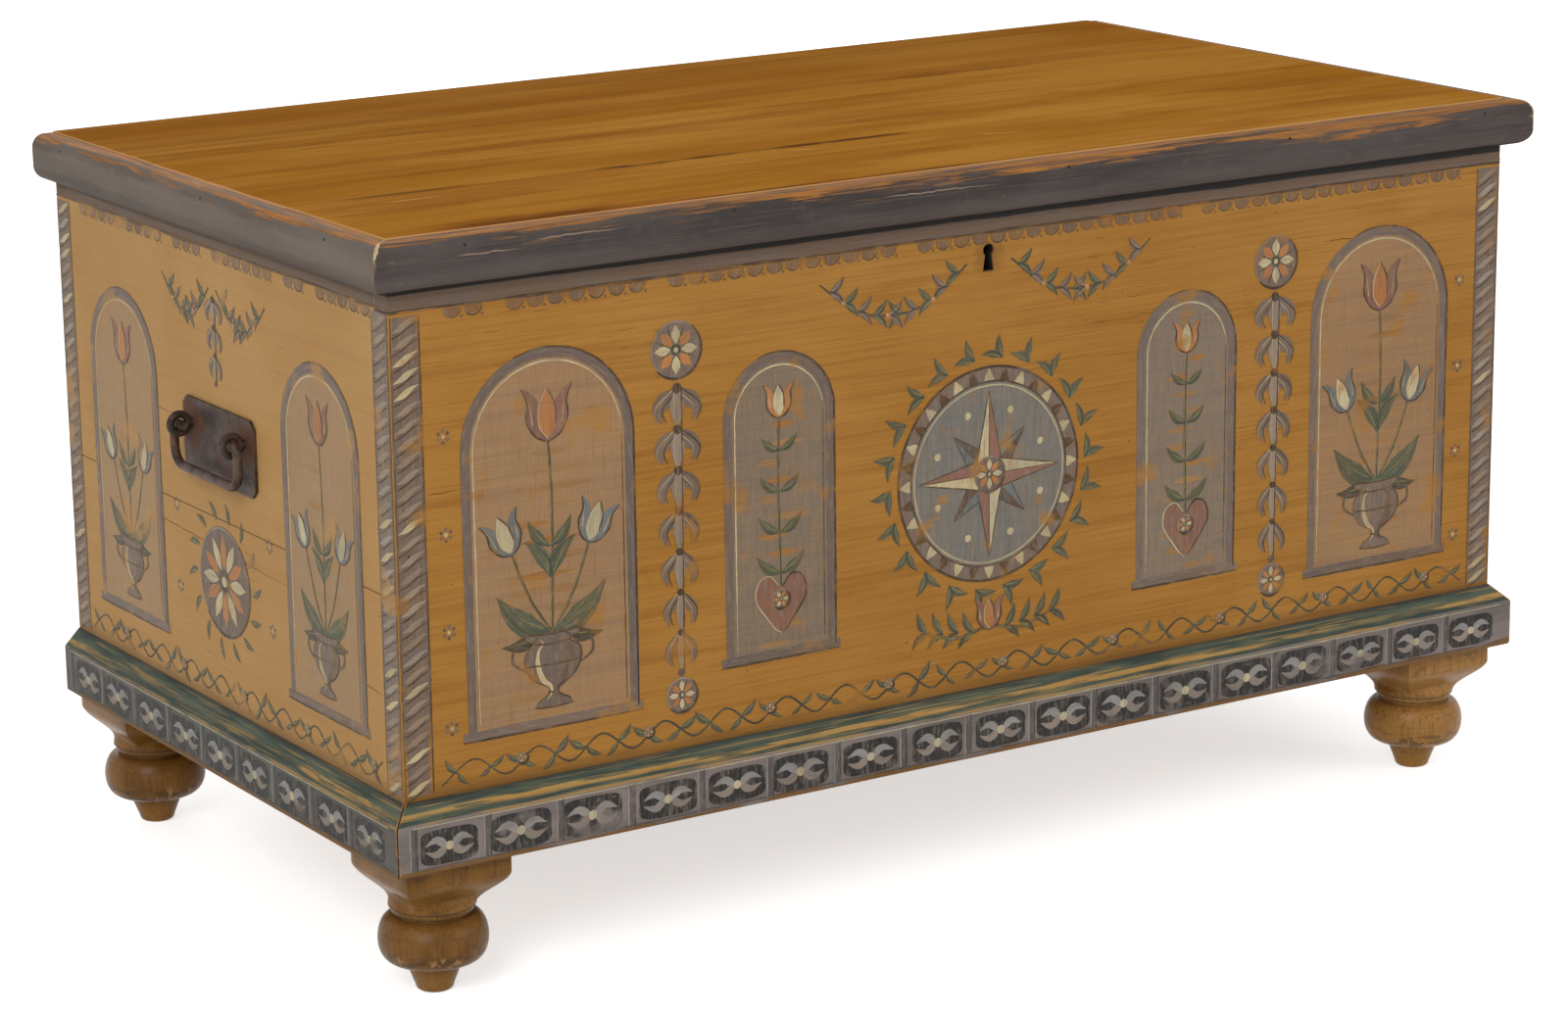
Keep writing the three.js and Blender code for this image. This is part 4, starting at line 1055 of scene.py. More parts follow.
def foot_profile():
    """Points of radius, level and squareness: 0 is round, 1 is square with that half diagonal."""
    points = []
    for step in range(TOE_STEPS + 1):
        angle = math.pi / 2 * step / TOE_STEPS
        radius = TOE_BOTTOM_RADIUS - TOE_ROUNDING * (1 - math.sin(angle))
        points.append((radius, TOE_ROUNDING * (1 - math.cos(angle)), 0))
    for step in range(BALL_STEPS + 1):
        share = step / BALL_STEPS
        angle = math.pi * (share - 0.5)
        waist = TOE_TOP_RADIUS + (NECK_RADIUS - TOE_TOP_RADIUS) * share
        swell = max(math.cos(angle), 0) ** (2 / 3)
        level = TOE_HEIGHT + BALL_HEIGHT / 2 * (1 + math.sin(angle))
        points.append((waist + (BALL_RADIUS - waist) * swell, level, 0))
    level = RING_LOW + RING_HEIGHT
    points += [(NECK_RADIUS, RING_LOW, 0), (RING_RADIUS, RING_LOW, 0), (RING_RADIUS, level, 0)]
    for step in range(TAPER_STEPS + 1):
        share = step / TAPER_STEPS
        radius = TAPER_RADIUS + (SQUARE_CORNER - TAPER_RADIUS) * eased(share)
        points.append((radius, level + TAPER_HEIGHT * share, eased(min(share / ROUND_SHARE, 1))))
    top = level + TAPER_HEIGHT + SQUARE_HEIGHT
    return points + [(SQUARE_CORNER, top, 1), (TENON_RADIUS, top, 0), (TENON_RADIUS, top + TENON_HEIGHT, 0)]


def square_share(angle):
    """Reach of a square at an angle against its half diagonal, its corners slightly rounded."""
    total = abs(math.cos(angle)) ** SQUARE_POWER + abs(math.sin(angle)) ** SQUARE_POWER
    return SQUARE_HALF / SQUARE_CORNER / total ** (1 / SQUARE_POWER)


def add_foot(node, material, seed):
    low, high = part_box(node)
    middle = (low + high) / 2
    points = []
    profile = foot_profile()
    for radius, level, squareness in profile:
        for side in range(FOOT_SIDES):
            angle = TURN * side / FOOT_SIDES
            reach = radius * (1 - squareness + squareness * square_share(angle))
            outward = Vector((math.cos(angle), math.sin(angle), 0))
            spot = (outward * reach + Vector((0, 0, level))) / WOBBLE_LENGTH
            sway = noise.noise(spot + Vector((seed, seed, seed))) * FOOT_WOBBLE
            reach += min(sway, 0) if reach > BALL_RADIUS or level == 0 else sway
            points.append(Vector((middle.x, middle.y, level)) + outward * reach)
    faces = capped(len(profile), FOOT_SIDES)
    made = piece("turned_" + node, points, faces, material, "case", "foot_pine")
    smooth(made)
    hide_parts(node)


# Handles

def bail_route():
    """Half of the bail's centre line, from its end in the eye to the middle of its grip."""
    top_turn = BAIL_HALF - BAIL_TOP_BEND
    low_turn = BAIL_HALF - BAIL_BOTTOM_BEND
    low_level = BAIL_BOTTOM_BEND - BAIL_DROP
    route = [(-BAIL_PIN_HALF + (BAIL_PIN_HALF - top_turn) * step / 4, 0) for step in range(4)]
    route += arc((-top_turn, -BAIL_TOP_BEND), BAIL_TOP_BEND, math.pi / 2, math.pi, BEND_STEPS)
    route += arc((-low_turn, low_level), BAIL_BOTTOM_BEND, math.pi, 1.5 * math.pi, BEND_STEPS)
    route += [(-low_turn * (1 - step / 6), -BAIL_DROP) for step in range(1, 6)]
    return route


def add_bail(side, material):
    low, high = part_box("bail_" + side)
    middle = (low + high) / 2
    pivot = Vector((middle.x, middle.y, high.z - BAIL_RADIUS))
    half = bail_route()
    whole = half + [(0, -BAIL_DROP)] + [(-across, level) for across, level in reversed(half)]
    route = [pivot + Vector((0, across, level)) for across, level in whole]
    radii = []
    for point in route:
        sway = noise.noise(point / WOBBLE_LENGTH * 2)
        radii.append(BAIL_RADIUS * (1 - BAIL_SHARE_WOBBLE * (0.5 + 0.5 * sway)))
    points, faces = tube(route, radii, IRON_SIDES)
    made = piece("forged_bail_" + side, points, faces, material, "bail_" + side, "iron")
    smooth(made)
    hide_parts("bail_" + side)


def eye_shank(centre, tail, sign):
    """The eye's shank through the board, clinched down behind it."""
    y, z = centre.y, centre.z
    corners = [
        Vector((centre.x - sign * EYE_RADIUS, y, z)),
        Vector((tail + sign * EYE_WIRE, y, z)),
        Vector((tail + sign * EYE_WIRE / 3, y, z - EYE_WIRE / 3)),
        Vector((tail, y, z - EYE_WIRE)),
        Vector((tail, y, z - CLINCH_LENGTH)),
    ]
    return tube(corners, [EYE_WIRE] * 4 + [EYE_WIRE / 2], IRON_SIDES)


def add_eye(node, sign, material):
    low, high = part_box(node)
    outer = sign * max(abs(low.x), abs(high.x))
    inner = sign * min(abs(low.x), abs(high.x))
    middle_y = (low.y + high.y) / 2
    centre = Vector((outer - sign * (EYE_RADIUS + EYE_WIRE), middle_y, high.z - EYE_RADIUS - EYE_WIRE))
    ring = []
    for step in range(RING_STEPS):
        angle = TURN * step / RING_STEPS
        outward = Vector((math.cos(angle), 0, math.sin(angle)))
        reach = EYE_WIRE * (1 - BAIL_SHARE_WOBBLE * (1 + math.sin(3 * angle)) / 2)
        ring += circle(centre + outward * EYE_RADIUS, outward, Vector((0, 1, 0)), reach, IRON_SIDES)
    eye = (ring, ring_faces(RING_STEPS, IRON_SIDES, closed=True))
    points, faces = joined([eye, eye_shank(centre, inner + sign * EYE_WIRE, sign)])
    made = piece("forged_" + node, points, faces, material, "case", "iron")
    smooth(made)
    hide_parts(node)


# Nails

def nail_parts(place, outward):
    aside = outward.orthogonal().normalized()
    other = outward.cross(aside)
    points = []
    for reach, lift in NAIL_SHARES:
        height = lift * NAIL_RISE if lift > 0 else lift * NAIL_SINK
        points += circle(place + outward * height, aside, other, reach * NAIL_RADIUS, NAIL_SIDES)
    return points, capped(len(NAIL_SHARES), NAIL_SIDES)


def add_moulding_nails(material):
    turn = math.asin(1 - MOULDING_NAIL_DROP / MOULDING_ROUNDING)
    rounding_z = MOULDING_HIGH.z - MOULDING_ROUNDING
    parts = []
    for x in MOULDING_NAIL_X:
        outward = Vector((0, -math.cos(turn), math.sin(turn)))
        centre = Vector((x, MOULDING_LOW.y + MOULDING_ROUNDING, rounding_z))
        parts.append(nail_parts(centre + outward * MOULDING_ROUNDING, outward))
    for y in MOULDING_NAIL_Y:
        for sign in (-1, 1):
            outward = Vector((sign * math.cos(turn), 0, math.sin(turn)))
            centre = Vector((sign * (MOULDING_HALF - MOULDING_ROUNDING), y, rounding_z))
            parts.append(nail_parts(centre + outward * MOULDING_ROUNDING, outward))
    points, faces = joined(parts)
    smooth(piece("moulding_nails", points, faces, material, "lid", "iron"))


def add_case_nails(material):
    parts = []
    for z in CASE_NAIL_Z:
        for sign in (-1, 1):
            x = sign * (CASE_HALF - CASE_NAIL_INSET)
            parts.append(nail_parts(Vector((x, CASE_FRONT, z)), Vector((0, -1, 0))))
            parts.append(nail_parts(Vector((x, BACK_FACE, z)), Vector((0, 1, 0))))
    points, faces = joined(parts)
    smooth(piece("case_nails", points, faces, material, "case", "iron"))


# Finishes of the CAD nodes

def dress(node, material, rounding):
    made = frame["nodes"][node]
    made.data.materials.clear()
    made.data.materials.append(material)
    made.data.shade_smooth()
    custom = made.data.attributes.get("custom_normal")
    if custom:
        made.data.attributes.remove(custom)
    weld = made.modifiers.new("weld", "WELD")
    weld.merge_threshold = WELD_DISTANCE
    bevel = made.modifiers.new("rounding", "BEVEL")
    bevel.width = rounding
    bevel.segments = ROUNDING_STEPS
    bevel.limit_method = "ANGLE"
    bevel.angle_limit = SHARP_ANGLE
    bevel.use_clamp_overlap = True
    weighted = made.modifiers.new("shading", "WEIGHTED_NORMAL")
    weighted.keep_sharp = False


def dress_case():
    dress("front_board", painted_front(), SEAM_ROUNDING)
    dress("back_board", back_pine(), SEAM_ROUNDING)
    end = painted_end()
    bare = bare_pine("x")
    for node in ("bottom_front_board", "bottom_rear_board"):
        dress(node, bare, SEAM_ROUNDING)
    dress("plinth_front", plinth_paint("x"), BOARD_ROUNDING)
    plinth_end = plinth_paint("y")
    for side in ("left", "right"):
        dress(side + "_end_lower_board", end, SEAM_ROUNDING)
        dress(side + "_end_upper_board", end, SEAM_ROUNDING)
        dress("plinth_" + side, plinth_end, BOARD_ROUNDING)


def dress_lid():
    pine = lid_pine()
    for place in ("front", "middle", "rear"):
        dress(f"lid_{place}_board", pine, LID_ROUNDING)
    batten = bare_pine("y")
    moulding_end = moulding_paint("y")
    dress("lid_moulding_front", moulding_paint("x"), SEAM_ROUNDING)
    for side in ("left", "right"):
        dress("lid_batten_" + side, batten, BOARD_ROUNDING)
        dress("lid_moulding_" + side, moulding_end, SEAM_ROUNDING)


def dress_iron():
    plain = iron("wrought_iron", IRON, 0.5)
    done = {"bail_left", "bail_right"}
    for side, sign in (("left", -1), ("right", 1)):
        eyes = []
        for place in ("front", "rear"):
            low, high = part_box(f"handle_eye_{side}_{place}")
            eyes.append((sign * CASE_HALF, (low.y + high.y) / 2, high.z - EYE_RADIUS - EYE_WIRE))
        plate = "handle_plate_" + side
        dress(plate, iron("handle_plate_iron_" + side, PLATE_IRON, 0.45, eyes), IRON_ROUNDING)
        done.add(plate)
    for node, made in frame["nodes"].items():
        slots = [item.name for item in made.data.materials if item]
        if node not in done and slots and slots[0].startswith("iron"):
            dress(node, plain, IRON_ROUNDING / 2 if "screw" in node else IRON_ROUNDING)


# Camera, lamps and stage

def add_camera():
    flat = math.cos(CAMERA_PITCH)
    forward = Vector((math.sin(CAMERA_YAW) * flat, math.cos(CAMERA_YAW) * flat, -math.sin(CAMERA_PITCH)))
    right = Vector((math.cos(CAMERA_YAW), -math.sin(CAMERA_YAW), 0))
    up = right.cross(forward)
    cos, sin = math.cos(CAMERA_ROLL), math.sin(CAMERA_ROLL)
    turned = Matrix((right * cos + up * sin, up * cos - right * sin, -forward)).transposed().to_4x4()
    data = bpy.data.cameras.new("camera")
    data.lens = CAMERA_LENS
    data.sensor_width = SENSOR_WIDTH
    camera = placed("camera", data)
    camera.matrix_world = Matrix.Translation(CAMERA_PLACE) @ turned
    bpy.context.scene.camera = camera


def add_lamps():
    for name, lamp in LAMPS.items():
        data = bpy.data.lights.new(name, "AREA")
        data.shape = "DISK"
        data.size = lamp["size"]
        data.energy = lamp["power"]
        place = Vector(lamp["place"])
        aim = Vector(lamp["aim"]) - place
        turned = aim.to_track_quat("-Z", "Y").to_matrix().to_4x4()
        placed(name, data).matrix_world = Matrix.Translation(place) @ turned


def two_sided(nodes, links, lighting, shown):
    """One shader for the light, another for the rays that show the background."""
    path = nodes.new("ShaderNodeLightPath")
    share = path.outputs["Is Camera Ray"]
    for kind in ("Is Glossy Ray", "Is Transmission Ray"):
        larger = nodes.new("ShaderNodeMath")
        larger.operation = "MAXIMUM"
        links.new(share, larger.inputs[0])
        links.new(path.outputs[kind], larger.inputs[1])
        share = larger.outputs[0]
    mixed = nodes.new("ShaderNodeMixShader")
    links.new(share, mixed.inputs[0])
    links.new(lighting.outputs[0], mixed.inputs[1])
    links.new(shown.outputs[0], mixed.inputs[2])
    return mixed.outputs[0]


def add_sky():
    world = bpy.data.worlds.new("studio")
    world.use_nodes = True
    nodes = world.node_tree.nodes
    links = world.node_tree.links
    nodes.clear()
    backgrounds = []
    for strength in (SKY_STRENGTH, 1):
        background = nodes.new("ShaderNodeBackground")
        background.inputs["Color"].default_value = SKY_COLOUR
        background.inputs["Strength"].default_value = strength
        backgrounds.append(background)
    output = nodes.new("ShaderNodeOutputWorld")
    links.new(two_sided(nodes, links, *backgrounds), output.inputs["Surface"])
    bpy.context.scene.world = world


def floor_finish():
    """A white floor that keeps the shadow: it glows only for the rays that show it."""
    recipe = Recipe("studio_floor")
    plain = recipe.nodes.new("ShaderNodeBsdfDiffuse")
    plain.inputs["Color"].default_value = FLOOR_COLOUR
    glow = recipe.nodes.new("ShaderNodeEmission")
    glow.inputs["Strength"].default_value = FLOOR_GLOW
    lit = recipe.nodes.new("ShaderNodeAddShader")
    recipe.links.new(plain.outputs[0], lit.inputs[0])
    recipe.links.new(glow.outputs[0], lit.inputs[1])
    output = recipe.nodes.new("ShaderNodeOutputMaterial")
    recipe.links.new(two_sided(recipe.nodes, recipe.links, plain, lit), output.inputs["Surface"])
    return recipe.material


def add_floor():
    half = FLOOR_HALF
    mesh = bpy.data.meshes.new("floor")
    corners = [(-half, -half, 0), (half, -half, 0), (half, half, 0), (-half, half, 0)]
    mesh.from_pydata(corners, [], [(0, 1, 2, 3)])
    mesh.materials.append(floor_finish())
    floor = placed("floor", mesh)


# Brush strokes

STROKE_SPACING = 0.0028
EDGE_SWAY = 0.00032
EDGE_SWAY_LENGTH = 0.0045
FIRST_LIFT = 0.00010
LAYER_LIFT = 0.00005
LINE = 0.0013
FINE_LINE = 0.0009
BLUNT_SHARES = (0.75, 1, 1, 1, 0.85)
COMMA_SHARES = (0.45, 1, 0.98, 0.75, 0.42, 0.08)
LEAF_SHARES = (0.05, 0.62, 1, 0.85, 0.45, 0.04)
LINE_SHARES = (0.5, 1, 0.85, 1, 0.9, 0.4)
TAIL_SHARES = (1, 0.9, 0.7, 0.4, 0.1)


def taken(shares, place):
    """The value of a table of shares at a place from 0 to 1."""
    spot = place * (len(shares) - 1)
    index = min(int(spot), len(shares) - 2)
    return shares[index] + (shares[index + 1] - shares[index]) * (spot - index)


def ray(at, turn, reach):
    """The flat point at a distance from another, in the direction of an angle."""
    return Vector((at[0] + reach * math.cos(turn), at[1] + reach * math.sin(turn)))


def arc(centre, radius, start, end, steps=14):
    return [ray(centre, start + (end - start) * step / steps, radius) for step in range(steps + 1)]


def curved(points, closed=False):
    """Points at even steps along a smooth curve through the given points."""
    count = len(points)
    route = []
    for index in range(count if closed else count - 1):
        if closed:
            knots = [points[(index + step) % count] for step in (-1, 0, 1, 2)]
        else:
            knots = [points[min(max(index + step, 0), count - 1)] for step in (-1, 0, 1, 2)]
        a, b, c, d = (Vector(knot) for knot in knots)
        steps = max(2, math.ceil((c - b).length / STROKE_SPACING))
        for step in range(steps):
            t = step / steps
            bend = (2 * a - 5 * b + 4 * c - d) * t * t + (3 * b - a - 3 * c + d) * t * t * t
            route.append(b + ((c - a) * t + bend) / 2)
    if not closed:
        route.append(Vector(points[-1]))
    return route


def straight(points, spacing=STROKE_SPACING, closed=False):
    """Points at even steps along straight edges."""
    ends = points[1:] + points[:1] if closed else points[1:]
    route = []
    for start, end in zip(points, ends):
        start, end = Vector(start), Vector(end)
        steps = max(1, math.ceil((end - start).length / spacing))
        route += [start.lerp(end, step / steps) for step in range(steps)]
    if not closed:
        route.append(Vector(points[-1]))
    return route


def shape(shares, at, size, turn=0.0, flip=1, closed=False):
    """A smooth curve through a motif's shares: sized, turned and set at its place."""
    wide, tall = size if isinstance(size, tuple) else (size, size)
    cos, sin = math.cos(turn), math.sin(turn)
    points = []
    for across, up in shares:
        x, y = across * wide * flip, up * tall
        points.append(Vector((at[0] + x * cos - y * sin, at[1] + x * sin + y * cos)))
    return curved(points, closed)


class Canvas:
    """Strokes of paint on one flat face, laid over each other in thin layers."""

    def __init__(self, origin, right, outward, seed):
        self.origin = Vector(origin)
        self.right = Vector(right)
        self.up = Vector((0, 0, 1))
        self.outward = Vector(outward)
        self.dice = random.Random(seed)
        self.points = []
        self.faces = []
        self.tints = []
        self.strokes = []
        self.number = 0

    def add_point(self, flat, lift):
        self.points.append(self.origin + self.right * flat[0] + self.up * flat[1] + self.outward * lift)

    def sway(self, flat, salt):
        return noise.noise(Vector((flat[0], flat[1], salt)) / EDGE_SWAY_LENGTH) * EDGE_SWAY

    def loaded(self, colour, layer):
        """The height, the tone and the salt of the next stroke."""
        self.number += 1
        lift = FIRST_LIFT + LAYER_LIFT * (layer + (self.number % 7) / 8)
        shade = self.dice.uniform(0.86, 1.12)
        warm = self.dice.uniform(-0.04, 0.04)
        tone = (colour[0] * shade * (1 + warm), colour[1] * shade, colour[2] * shade * (1 - warm))
        return lift, tone, self.dice.uniform(0, 50)

    def pull(self, route, width, colour, layer, shares=BLUNT_SHARES, cover=0.95, fade=0.15, closed=False):
        """One pull of the brush along a route of flat points."""
        lift, tone, salt = self.loaded(colour, layer)
        total = sum((b - a).length for a, b in zip(route, route[1:])) or 1
        gone = 0.0
        start = len(self.points)
        spots = []
        for index, point in enumerate(route):
            heading = route[min(index + 1, len(route) - 1)] - route[max(index - 1, 0)]
            if closed and index in (0, len(route) - 1):
                heading = route[1] - route[-2]
            heading = heading.normalized() if heading.length else Vector((1, 0))
            across = Vector((-heading.y, heading.x))
            gone += (point - route[index - 1]).length if index else 0
            place = gone / total
            half = width / 2 * (1 if closed else taken(shares, place))
            for side in (-1, 1):
                reach = max(half + self.sway(point, salt + side), half * 0.3)
                self.add_point(point + across * side * reach, lift)
                spots.append((gone + salt, side * reach + salt, cover * (1 - fade * place)))
        for low in range(0, 2 * len(route) - 2, 2):
            self.add_face((low, low + 1, low + 3, low + 2), tone, salt, spots, start)

    def fill(self, outline, colour, layer, cover=0.9):
        """A filled shape with a hand-painted edge."""
        lift, tone, salt = self.loaded(colour, layer)
        start = len(self.points)
        spots = []
        for point in outline:
            swayed = point + Vector((self.sway(point, salt), self.sway(point, salt + 9)))
            self.add_point(swayed, lift)
            spots.append((swayed.y + salt, swayed.x + salt, cover))
        self.add_face(range(len(outline)), tone, salt, spots, start)

    def disc(self, at, radius, colour, layer, steps=12, cover=0.9):
        self.fill(arc(at, radius, 0, TURN, steps)[:-1], colour, layer, cover)

    def add_face(self, corners, tone, salt, spots, start):
        self.faces.append(tuple(start + corner for corner in corners))
        for corner in corners:
            run, across, cover = spots[corner]
            self.tints.append((*tone, cover))
            self.strokes.append((run, across, salt))

    def finish(self, name, ground, slot):
        material = brushwork(name + "_brushwork", ground)
        mesh = piece(name + "_design", self.points, self.faces, material, "case", slot).data
        tint = mesh.attributes.new("tint", "FLOAT_COLOR", "CORNER")
        tint.data.foreach_set("color", [value for row in self.tints for value in row])
        stroke = mesh.attributes.new("stroke", "FLOAT_VECTOR", "CORNER")
        stroke.data.foreach_set("vector", [value for row in self.strokes for value in row])


# Painted motifs, their forms as shares of a motif's size

SIDE_PETAL_SHARES = [
    (0, 0), (-0.24, 0.10), (-0.42, 0.40), (-0.40, 0.72), (-0.52, 1.0), (-0.24, 0.82), (-0.06, 0.45),
]
MIDDLE_PETAL_SHARES = [(0, 0.06), (-0.17, 0.30), (-0.16, 0.66), (0, 0.98), (0.16, 0.66), (0.17, 0.30)]
PETAL_STREAK_SHARES = [(0.30, 0.32), (0.336, 0.58), (0.39, 0.80)]
URN_SHARES = [
    (0.26, 0), (0.24, 0.07), (0.08, 0.16), (0.08, 0.26), (0.30, 0.38),
    (0.42, 0.58), (0.40, 0.76), (0.26, 0.86), (0.40, 0.94), (0.40, 1),
]
URN_BAND_SHARES = ((0.0, 0.30), (0.20, 0.09), (0.58, 0.42), (0.86, 0.27), (1.0, 0.43))
URN_HANDLE_SHARES = [(0.36, 0.82), (0.56, 0.86), (0.60, 0.66), (0.40, 0.52)]
HEART_SHARES = [
    (0, 0), (-0.30, 0.30), (-0.50, 0.62), (-0.44, 0.92), (-0.22, 1),
    (0, 0.80), (0.22, 1), (0.44, 0.92), (0.50, 0.62), (0.30, 0.30),
]
LEAF_BEND_SHARES = [(0, 0), (0.10, 0.30), (0.10, 0.65), (0, 1)]
LEAF_SHADE_SHARES = [(0.05, 0.02), (0.19, 0.32), (0.16, 0.66), (0.02, 0.97)]
LEAF_VEIN_SHARES = [(0.03, 0.15), (0.07, 0.45), (0.04, 0.78)]
ROSETTE_PETAL_SHARES = (0.22, 0.42, 0.62, 0.84)
ROSETTE_GAP_SHARES = (0.34, 0.6, 0.92)
DART_SHARES = (0.87, 0.92, 0.985)
STAR_REACH_SHARES = (0.72, 1.0)
RING_SHARES = ((1.0, INK, 1.5 * LINE), (0.865, INK, LINE), (0.83, CREAM, LINE))
HUSK_SHARES = ((-0.42, 0.82), (0.42, 0.82), (0, 1))
ROPE_SHARES = [(-0.46, -0.42), (-0.15, -0.18), (0.15, 0.18), (0.46, 0.42)]
FIELD_SHARES = [(-1, 0), (-0.9, 0.86), (0, 1), (0.9, 0.86), (1, 0), (0.9, -0.86), (0, -1), (-0.9, -0.86)]
FIELD_LEAF_SHARES = [(0.1, 0), (0.45, 0.42), (0.86, 0.16)]

STEM_WIDTH = 0.0022
PANEL_FRAME = 0.0075
PANEL_DASH_PITCH = 0.016
PANEL_DASH_WIDTH = 0.006
ROPE_PITCH = 0.0115
SWAG_STEM = 0.0018
SWAG_LEAF = 0.017
BERRY_RADIUS = 0.0024
VINE_STEM = 0.0016
BAR_STROKES = (
    {"shift": 0, "colour": MAUVE_DARK, "width": 0.0052, "layer": 2},
    {"shift": -0.0022, "colour": PALE, "width": LINE, "layer": 3},
    {"shift": 0.0030, "colour": INK, "width": LINE, "layer": 3},
)
BAR_LOW_GAP = 0.004
BAR_HIGH_GAP = 0.002
BORDER_LOW_LINE = 0.0042
BORDER_HIGH_LINE = 0.0018


def leaf(canvas, at, length, turn, layer=2, colour=GREEN, flip=1):
    place = (at, length, turn, flip)
    grey = colour is MAUVE
    shade, vein = (INK, MAUVE_LIGHT) if grey else (GREEN_DARK, GREEN_LIGHT)
    canvas.pull(shape(LEAF_BEND_SHARES, *place), length * 0.34, colour, layer, LEAF_SHARES)
    canvas.pull(shape(LEAF_SHADE_SHARES, *place), FINE_LINE, shade, layer + 1, LINE_SHARES)
    canvas.pull(shape(LEAF_VEIN_SHARES, *place), FINE_LINE, vein, layer + 1, TAIL_SHARES, 0.8)


def tulip(canvas, at, size, turn=0.0, side=ROSE, middle=PEACH, layer=4):
    for flip in (-1, 1):
        canvas.fill(shape(SIDE_PETAL_SHARES, at, size, turn, flip, closed=True), side, layer)
        edge = shape(SIDE_PETAL_SHARES[:5], at, size, turn, flip)
        canvas.pull(edge, LINE, INK, layer + 2, LINE_SHARES)
    canvas.fill(shape(MIDDLE_PETAL_SHARES, at, size, turn, closed=True), middle, layer + 1)
    left = shape(MIDDLE_PETAL_SHARES[:4], at, size, turn)
    canvas.pull(left, FINE_LINE, CREAM, layer + 2, LINE_SHARES, 0.9)
    right = shape(MIDDLE_PETAL_SHARES[3:], at, size, turn)
    canvas.pull(right, LINE, INK, layer + 2, LINE_SHARES)
    for flip in (-1, 1):
        streak = shape(PETAL_STREAK_SHARES, at, size, turn, flip)
        canvas.pull(streak, FINE_LINE, CREAM, layer + 2, TAIL_SHARES, 0.75)


def stem(canvas, points, layer=2):
    route = curved(points)
    canvas.pull(route, STEM_WIDTH, GREEN_DARK, layer)
    light = [point - Vector((STEM_WIDTH / 4, 0)) for point in route]
    canvas.pull(light, STEM_WIDTH / 3, GREEN_LIGHT, layer + 1, LINE_SHARES, 0.7)


def urn(canvas, at, size, layer=4):
    half = shape(URN_SHARES, at, size)
    other = shape(URN_SHARES, at, size, 0, -1)
    canvas.fill(half + list(reversed(other)), MAUVE, layer)
    for share, width, colour in ((0.62, size * 0.16, MAUVE_DARK), (-0.55, size * 0.08, CREAM)):
        inner = [Vector((at[0] + (point.x - at[0]) * share, point.y)) for point in half[3:-3]]
        canvas.pull(inner, width, colour, layer + 1, LEAF_SHARES, 0.85)
    canvas.pull(half, LINE, INK, layer + 2, LINE_SHARES)
    canvas.pull(other, FINE_LINE, INK, layer + 2, LINE_SHARES, 0.7)
    for level, reach in URN_BAND_SHARES:
        band = shape([(-reach, level), (0, level - 0.02), (reach, level)], at, size)
        canvas.pull(band, LINE, INK, layer + 3, LINE_SHARES, 0.85)
    for flip in (-1, 1):
        grip = shape(URN_HANDLE_SHARES, at, size, 0, flip)
        canvas.pull(grip, 1.6 * LINE, MAUVE_DARK, layer + 3, LINE_SHARES)


def rosette(canvas, at, radius, petals, layer=3):
    canvas.disc(at, radius, MAUVE, layer, 40)
    for index in range(petals):
        turn = TURN * index / petals
        petal = [ray(at, turn, radius * share) for share in ROSETTE_PETAL_SHARES]
        width = radius * 3.3 / petals
        canvas.pull(petal, width, PEACH if index % 2 else CREAM, layer + 1, LEAF_SHARES)
        gap = [ray(at, turn + math.pi / petals, radius * share) for share in ROSETTE_GAP_SHARES]
        canvas.pull(gap, FINE_LINE, INK, layer + 2, TAIL_SHARES, 0.85)
    canvas.disc(at, radius * 0.2, GREEN_DARK, layer + 3, 14)
    canvas.disc(at, radius * 0.1, CREAM, layer + 4, 10)
    canvas.pull(arc(at, radius, -2.4, 0.9, 28), 1.7 * LINE, INK, layer + 2, LINE_SHARES)
    canvas.pull(arc(at, radius * 0.97, 0.9, 3.9, 28), LINE, MAUVE_LIGHT, layer + 2, LINE_SHARES)


def compass_star(canvas, at, radius, layer):
    """An eight-pointed compass star, each ray half light and half dark."""
    tones = ((BLUE, MAUVE_DARK), (CREAM, ROSE))
    for index, (reach, (light, dark)) in enumerate(zip(STAR_REACH_SHARES, tones)):
        low = layer + 2 * index
        for point in range(4):
            turn = math.pi / 2 * point + math.pi / 4 * (1 - index)
            tip = ray(at, turn, radius * reach)
            for side, colour in ((-1, dark), (1, light)):
                notch = ray(at, turn + side * math.pi / 4, radius * 0.24)
                canvas.fill(straight([at, notch, tip], closed=True), colour, low, 0.95)
                canvas.pull(straight([notch, tip]), FINE_LINE, INK, low + 1, LINE_SHARES, 0.9)
            canvas.pull(straight([at, tip]), FINE_LINE, INK, low + 1, LINE_SHARES, 0.8)


